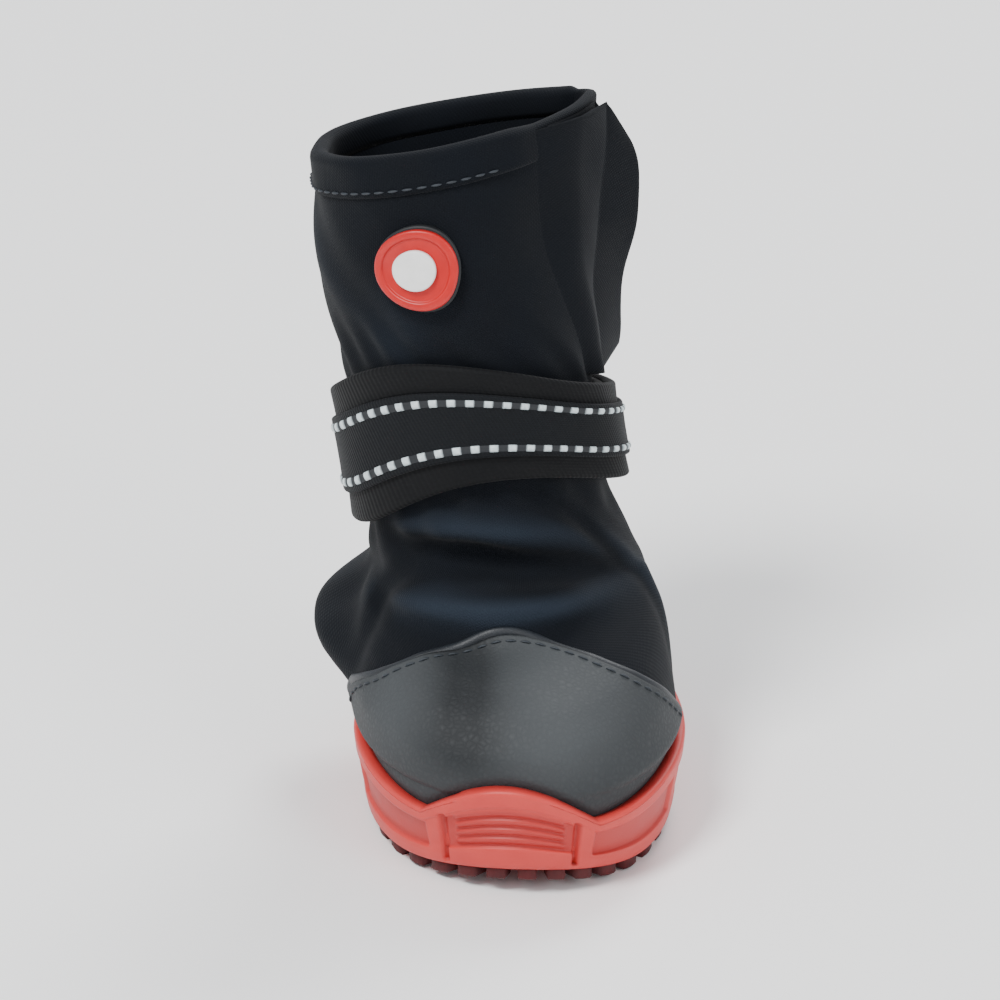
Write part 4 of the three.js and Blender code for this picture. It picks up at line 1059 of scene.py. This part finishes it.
class Finish:
    """One material, made from nodes around one Principled shader."""

    def __init__(self, name, roughness, sheen=0.0, specular=0.5):
        self.material = bpy.data.materials.new(name)
        self.material.use_nodes = True
        self.tree = self.material.node_tree
        self.shader = next(node for node in self.tree.nodes if node.type == "BSDF_PRINCIPLED")
        constants = {
            "Roughness": roughness,
            "Specular IOR Level": specular,
            "Sheen Weight": sheen,
            "Sheen Roughness": 0.45,
        }
        for socket, value in constants.items():
            self.shader.inputs[socket].default_value = value

    def node(self, kind, settings=None, values=None, output=0):
        """Adds a node: its settings first, then the values or links of its sockets."""
        node = self.tree.nodes.new(kind)
        for key, value in (settings or {}).items():
            setattr(node, key, value)
        for key, value in (values or {}).items():
            if isinstance(value, Signal):
                self.tree.links.new(value.socket, node.inputs[key])
            else:
                node.inputs[key].default_value = value
        return Signal(self, node.outputs[output])

    def place(self):
        return self.node("ShaderNodeTexCoord", output="Object")

    def length_and_width(self):
        """The piece's own lengths in metres, as two signals."""
        lengths = self.node("ShaderNodeUVMap", {"uv_map": "lengths"})
        split = self.node("ShaderNodeSeparateXYZ", values={0: lengths})
        return split, Signal(self, split.socket.node.outputs[1])

    def noise(self, size, detail=3.0, roughness=0.55):
        """Noise whose blotches are about this many metres across."""
        values = {"Vector": self.place(), "Scale": 1 / size, "Detail": detail, "Roughness": roughness}
        return self.node("ShaderNodeTexNoise", values=values)

    def cells(self, size):
        """Distance to the nearest edge between cells about this many metres across."""
        values = {"Vector": self.place(), "Scale": 1 / size}
        return self.node("ShaderNodeTexVoronoi", {"feature": "DISTANCE_TO_EDGE"}, values)

    def attribute(self, name):
        return self.node("ShaderNodeAttribute", {"attribute_name": name}, output="Fac")

    def blend(self, factor, first, second):
        """A colour between two, as a share from 0 to 1."""
        settings = {"data_type": "RGBA", "clamp_factor": True}
        return self.node("ShaderNodeMix", settings, {0: factor, 6: first, 7: second}, output=2)

    def colour(self, signal):
        self.link(signal, "Base Color")

    def rough(self, signal):
        self.link(signal, "Roughness")

    def link(self, signal, socket):
        self.tree.links.new(signal.socket, self.shader.inputs[socket])

    def bump(self, height, depth):
        """Raises the surface by depth metres where the height signal is 1."""
        self.link(self.node("ShaderNodeBump", values={"Height": height, "Distance": depth}), "Normal")


def rgb(hex_colour):
    """A linear colour, with alpha, from the usual six hexadecimal digits."""
    parts = np.array(list(bytes.fromhex(hex_colour))) / 255
    linear = np.where(parts <= 0.04045, parts / 12.92, ((parts + 0.055) / 1.055) ** 2.4)
    return (*linear.tolist(), 1.0)


def upper_cloth():
    """Near-black stretch cloth: a fine twill, mottled, with lint-like paler specks, and a
    painted highlight, a paler colour, on the ridges of its creases."""
    cloth = Finish("upper_cloth", 0.86, sheen=0.03, specular=0.16)
    along, up = cloth.length_and_width()
    painted_light = cloth.attribute("painted_light")
    pitch = 0.0009
    diagonal = ((along + up) * (FULL_TURN / pitch)).sine() * 0.5 + 0.5
    rows = ((along - up * 0.35) * (FULL_TURN / (pitch * 0.62))).sine() * 0.5 + 0.5
    weave = diagonal * rows
    mottle = cloth.noise(0.012, 4.0)
    specks = cloth.noise(0.0009, 2.0, 0.7)
    shade = mottle * 0.5 + weave * 0.2 + specks * 0.2
    plain = cloth.blend(shade, rgb("020408"), rgb("0a1018"))
    # Painted highlight: the colour turns paler towards 202832 on the crease ridges.
    cloth.colour(cloth.blend(painted_light * 0.45, plain, rgb("202832")))
    cloth.rough(mottle * 0.16 + 0.76)
    cloth.bump(weave * 0.6 + specks * 0.5, 0.00011)
    return cloth.material


def grained_cap():
    """Charcoal cap with a fine pebbled grain, a painted highlight on its swells and painted shade
    down the valley between them.
    """
    cap = Finish("grained_cap", 0.6, specular=0.3)
    pebbles = cap.cells(0.0013)
    fine = cap.noise(0.0006, 2.0, 0.6)
    broad = cap.noise(0.018, 3.0)
    plain = cap.blend(broad * 0.7 + pebbles * 0.5, rgb("17191b"), rgb("2b2e30"))
    # Painted highlight and shade: paler towards 55595b on the swells, darker down the valley.
    cap.colour(cap.blend(cap.attribute("painted_light") * 0.5, plain, rgb("55595b")))
    cap.rough(0.66 - pebbles * 0.25 + fine * 0.1)
    cap.bump(pebbles * 0.9 + fine * 0.5, 0.00012)
    return cap.material


def coral_rubber():
    """Coral red rubber, a little darker in the panels, with a dusty, uneven sheen."""
    rubber = Finish("coral_rubber", 0.5, specular=0.45)
    sunk = rubber.attribute("panel")
    dust = rubber.noise(0.009, 4.0, 0.6)
    grain = rubber.noise(0.0005, 2.0)
    plain = rubber.blend(dust, rgb("bb2a26"), rgb("d0413b"))
    rubber.colour(rubber.blend(sunk * 0.75, plain, rgb("a82623")))
    rubber.rough(dust * 0.22 + 0.4)
    rubber.bump(grain, 0.00004)
    return rubber.material


def dark_rubber():
    """The tread: a dark maroon that is partly the rubber's own colour and partly painted shade under
    the sole, scuffed paler on the lugs' faces.
    """
    rubber = Finish("maroon_rubber", 0.62, specular=0.35)
    scuffs = rubber.noise(0.004, 4.0, 0.65)
    # Partly painted shade: the lugs' maroon is darker than the rubber, standing for the shade under
    # the sole.
    rubber.colour(rubber.blend(scuffs, rgb("34090c"), rgb("5c1a1c")))
    rubber.rough(scuffs * 0.2 + 0.55)
    rubber.bump(rubber.noise(0.0006, 2.0), 0.00005)
    return rubber.material


def webbing(name, dark, pale, pitch, depth):
    """Woven tape: cross ribs at a pitch, broken up along its warp."""
    tape = Finish(name, 0.8, sheen=0.03, specular=0.22)
    along, across = tape.length_and_width()
    ribs = (along * (FULL_TURN / pitch)).sine() * 0.5 + 0.5
    warp = (across * (FULL_TURN / (pitch * 0.8))).sine() * 0.5 + 0.5
    weave = ribs * 0.65 + warp * 0.35
    wear = tape.noise(0.01, 3.0)
    tape.colour(tape.blend(weave * 0.5 + wear * 0.5, rgb(dark), rgb(pale)))
    tape.rough(wear * 0.15 + 0.7)
    tape.bump(weave, depth)
    return tape.material


def reflective_yarn():
    """Pale reflective dashes on a dark ground, by the share that the mesh carries."""
    yarn = Finish("reflective_yarn", 0.42, specular=0.6)
    dash = yarn.attribute("dash")
    glint = yarn.noise(0.0007, 2.0)
    pale = yarn.blend(glint, rgb("9fb4ba"), rgb("e2e8e8"))
    yarn.colour(yarn.blend(dash, rgb("12161b"), pale))
    yarn.rough(0.7 - dash * 0.34)
    yarn.bump(glint, 0.00005)
    return yarn.material


def plain_finish(name, dark, pale, roughness, blotch, depth, sheen=0.0):
    """A finish of one colour with slight blotches and a fine grain."""
    plain = Finish(name, roughness, sheen=sheen)
    blotches = plain.noise(blotch, 3.0)
    plain.colour(plain.blend(blotches, rgb(dark), rgb(pale)))
    plain.rough(blotches * 0.14 + (roughness - 0.07))
    plain.bump(plain.noise(blotch * 0.08, 2.0), depth)
    return plain.material


# The pieces

def make_sole():
    angles = turns(CUP_COLUMNS)
    loops = cup_loops(angles)
    cup = closed_mesh("outsole_cup", loops, poles=[(0, 0, LUG_DEPTH), (0, 0, SEAT)])
    sunk = np.zeros(loops.shape[:2])
    first, shares = len(UNDERSIDE_INSETS) + len(EDGE_TURNS), WALL_SHARES[:, None]
    panels, grooves = wall_panel(angles, shares), wall_grooves(angles, shares)
    sunk[first:first + len(shares)] = np.maximum(panels, grooves)
    paint(cup, "panel", [*sunk.ravel(), 0, 0])
    finish(cup, coral_rubber(), "sole_rubber", "outsole")
    tread = dark_rubber()
    for name, outlines in (("edge", edge_lug_outlines()), ("middle", middle_lug_outlines())):
        finish(closed_mesh(f"outsole_{name}_lugs", lug_loops(outlines)), tread, "sole_rubber")
    foam = plain_finish("insole_felt", "2c2e30", "43464a", 0.9, 0.006, 0.00012, sheen=0.2)
    poles = [(0, 0, SEAT + FIT), (0, 0, SEAT + FIT + INSOLE_THICKNESS - 0.5)]
    pad = closed_mesh("insole_pad", insole_loops(turns(INSOLE_COLUMNS)), poles=poles)
    finish(pad, foam, "insole_foam", "insole")


def make_upper():
    cloth = upper_cloth()
    angles = turns(UPPER_COLUMNS)
    around = np.linspace(0, FULL_TURN, UPPER_COLUMNS + 1) * CLOTH_RADIUS
    loops = upper_loops(angles)
    up = lengths_along(np.concatenate([loops[0], loops[0, :1]]))
    shell = closed_mesh("upper_shell", loops, wraps=True, uv=(around, up))
    # Painted highlight: the crease ridges are stored here so that the cloth's colour turns paler
    # there.
    paint(shell, "painted_light", np.clip(creases(angles[:, None], loops[..., 2]), 0, 2))
    finish(shell, cloth, "upper_fabric", "upper")
    finish(closed_mesh("hem_roll", hem_loops()), cloth, "upper_fabric", "collar_hem")
    finish(closed_mesh("flap_leaf", flap_loops()), cloth, "upper_fabric", "closure_flap")


def make_cap():
    loops = toe_cap_loops()
    cap = closed_mesh("toe_cap_skin", loops)
    angle = np.linspace(cap_reach(-1), cap_reach(1), len(loops))[:, None]
    # Painted highlight and shade: high on the cap's swells and low down its valley, read by its
    # colour.
    painted_light = np.clip((cap_valley(angle, loops[..., 2]) + 1) / 2.6, 0, 1)
    paint(cap, "painted_light", [*painted_light.ravel(), 0, 0])
    finish(cap, grained_cap(), "toe_cap_leather", "toe_cap")
    piping = plain_finish("binding_tape", "0b0e12", "1b2128", 0.5, 0.004, 0.00008)
    finish(closed_mesh("binding_roll", binding_loops()), piping, "webbing", "cap_binding")


def make_strap():
    webbing_black = webbing("strap_webbing", "020203", "07090c", 0.0011, 0.00011)
    ribbon_black = webbing("ribbon_weave", "030406", "0c1015", 0.0008, 0.0001)
    profile = rounded_strip(STRAP_WIDTH, 0, STRAP_THICKNESS, 0.9)
    strap = closed_mesh("strap_webbing", strap_layer(STRAP_START, STRAP_COLUMNS, profile))
    finish(strap, webbing_black, "webbing", "ankle_strap")
    profile = rounded_strip(RIBBON_WIDTH, STRAP_THICKNESS - 0.1, RIBBON_FACE, 0.5)
    ribbon = closed_mesh("ribbon_tape", strap_layer(RIBBON_START, RIBBON_COLUMNS, profile))
    finish(ribbon, ribbon_black, "webbing", "strap_ribbon")
    yarn = reflective_yarn()
    for side, node in ((1, "reflective_line_upper"), (-1, "reflective_line_lower")):
        loops, dash = reflective_line(side)
        line = closed_mesh(node + "_dashes", loops)
        paint(line, "dash", [*dash.ravel(), 0, 0])
        finish(line, yarn, "reflective_yarn", node)


def make_badge():
    base_face = FIT + BADGE_BASE_THICKNESS
    disc_face = base_face + FIT + BADGE_DISC_THICKNESS
    floor = disc_face - BADGE_RECESS
    face = floor + FIT + BADGE_DOT_THICKNESS
    base_edge, edge, radius = BADGE_WIDTH / 2, BADGE_DISC_WIDTH / 2, BADGE_DOT_WIDTH / 2
    inside = edge - BADGE_RIM_WIDTH
    base = [(0, -0.2), (base_edge / 2, -0.2), (base_edge, -0.2), *edge_arc(base_edge, base_face, 0.5)]
    base += [(base_edge / 2, base_face), (0, base_face)]
    disc = [(0, base_face - 0.1), (edge / 2, base_face - 0.1), (edge, base_face - 0.1)]
    disc += edge_arc(edge, disc_face, 0.5)
    disc += [(inside + 0.35, disc_face), (inside + 0.12, disc_face - 0.1), (inside, disc_face - 0.3)]
    disc += [(inside - 0.05, floor + 0.08), (inside - 0.3, floor), (inside / 2, floor), (0, floor)]
    dot = [(0, floor - 0.1), (radius, floor - 0.1), *edge_arc(radius, face, 0.45)]
    dot += [(radius / 2, face), (0, face)]
    black = plain_finish("badge_base_rubber", "0a0c0f", "171a1e", 0.6, 0.004, 0.00004)
    red = plain_finish("badge_red_rubber", "a80808", "c41512", 0.4, 0.003, 0.00003)
    white = plain_finish("badge_white_rubber", "dcdcda", "f6f5f2", 0.4, 0.003, 0.00003)
    finish(badge_piece("badge_backing", base), black, "badge_black", "badge_base")
    finish(badge_piece("badge_ring", disc), red, "badge_red", "badge_disc")
    finish(badge_piece("badge_button", dot), white, "badge_white", "badge_dot")


def make_stitches():
    """Sewn lines: under the collar's hem and beside the toe cap's binding."""
    thread = plain_finish("black_thread", "12161b", "2b333b", 0.6, 0.002, 0.00003)
    angle = np.radians(np.linspace(HEM_START + 12, FLAP_START - 22, 500))
    top = skin(angle, np.full_like(angle, COLLAR_ROW))[..., 2]
    level = level_at_height(angle, top - HEM_HEIGHT + 1.3)
    path = on_cloth(angle, level, FIT + HEM_THICKNESS - 0.1)
    finish(stitch_row("hem_stitches", path, skin_normal(angle, level)), thread, "upper_fabric")
    angle = np.linspace(cap_reach(-1) * 0.97, cap_reach(1) * 0.97, 500)
    level = level_where(angle, behind_cap, np.full_like(angle, -1.2))
    valley = CAP_SWELL_SHARE * cap_valley(angle, skin(angle, level)[..., 2])
    path = on_cloth(angle, level, FIT + CAP_THICKNESS + valley)
    finish(stitch_row("cap_stitches", path, skin_normal(angle, level)), thread, "toe_cap_leather")


# Stage

def make_camera():
    azimuth, elevation = math.radians(CAMERA_AZIMUTH), math.radians(CAMERA_ELEVATION)
    direction = Vector((
        math.sin(azimuth) * math.cos(elevation),
        -math.cos(azimuth) * math.cos(elevation),
        math.sin(elevation),
    ))
    data = bpy.data.cameras.new("camera")
    data.lens = CAMERA_LENS
    camera = bpy.data.objects.new("camera", data)
    camera.location = Vector(CAMERA_TARGET) + direction * CAMERA_DISTANCE
    camera.rotation_euler = direction.to_track_quat("Z", "Y").to_euler()
    bpy.context.scene.collection.objects.link(camera)
    bpy.context.scene.camera = camera


def area_light(name, place, target, size, power):
    data = bpy.data.lights.new(name, "AREA")
    data.shape = "DISK"
    data.size = size
    data.energy = power
    light = bpy.data.objects.new(name, data)
    light.location = place
    light.rotation_euler = (Vector(place) - Vector(target)).to_track_quat("Z", "Y").to_euler()
    bpy.context.scene.collection.objects.link(light)


# Lights aimed at a point over the floor: name, place, aim's height, size and power
LIGHTS = (
    ("key", (-0.55, -0.6, 1.3), 0.06, 0.5, 24),
    ("fill", (0.9, -0.8, 0.7), 0.06, 0.8, 6),
    ("back", (0.3, 1.0, 1.1), 0.08, 0.6, 14),
)
WORLD_COLOUR = (0.93, 0.95, 1.0, 1.0)
WORLD_STRENGTH = 0.7


def make_stage():
    """A plain pale floor, an even pale world and three large soft lights."""
    corners = [(-6, -6, 0), (6, -6, 0), (6, 6, 0), (-6, 6, 0)]
    mesh = bpy.data.meshes.new("floor")
    mesh.from_pydata(corners, [], [(0, 1, 2, 3)])
    floor = bpy.data.objects.new("floor", mesh)
    bpy.context.scene.collection.objects.link(floor)
    floor.data.materials.append(plain_finish("floor_paper", "f4f4f3", "f8f8f7", 0.9, 0.5, 0.0))
    world = bpy.data.worlds.new("studio")
    world.use_nodes = True
    backdrop = next(node for node in world.node_tree.nodes if node.type == "BACKGROUND")
    backdrop.inputs["Color"].default_value = WORLD_COLOUR
    backdrop.inputs["Strength"].default_value = WORLD_STRENGTH
    bpy.context.scene.world = world
    for name, place, aim, size, power in LIGHTS:
        area_light(name, place, (0, 0, aim), size, power)


make_camera()
make_sole()
make_upper()
make_cap()
make_strap()
make_badge()
make_stitches()
make_stage()
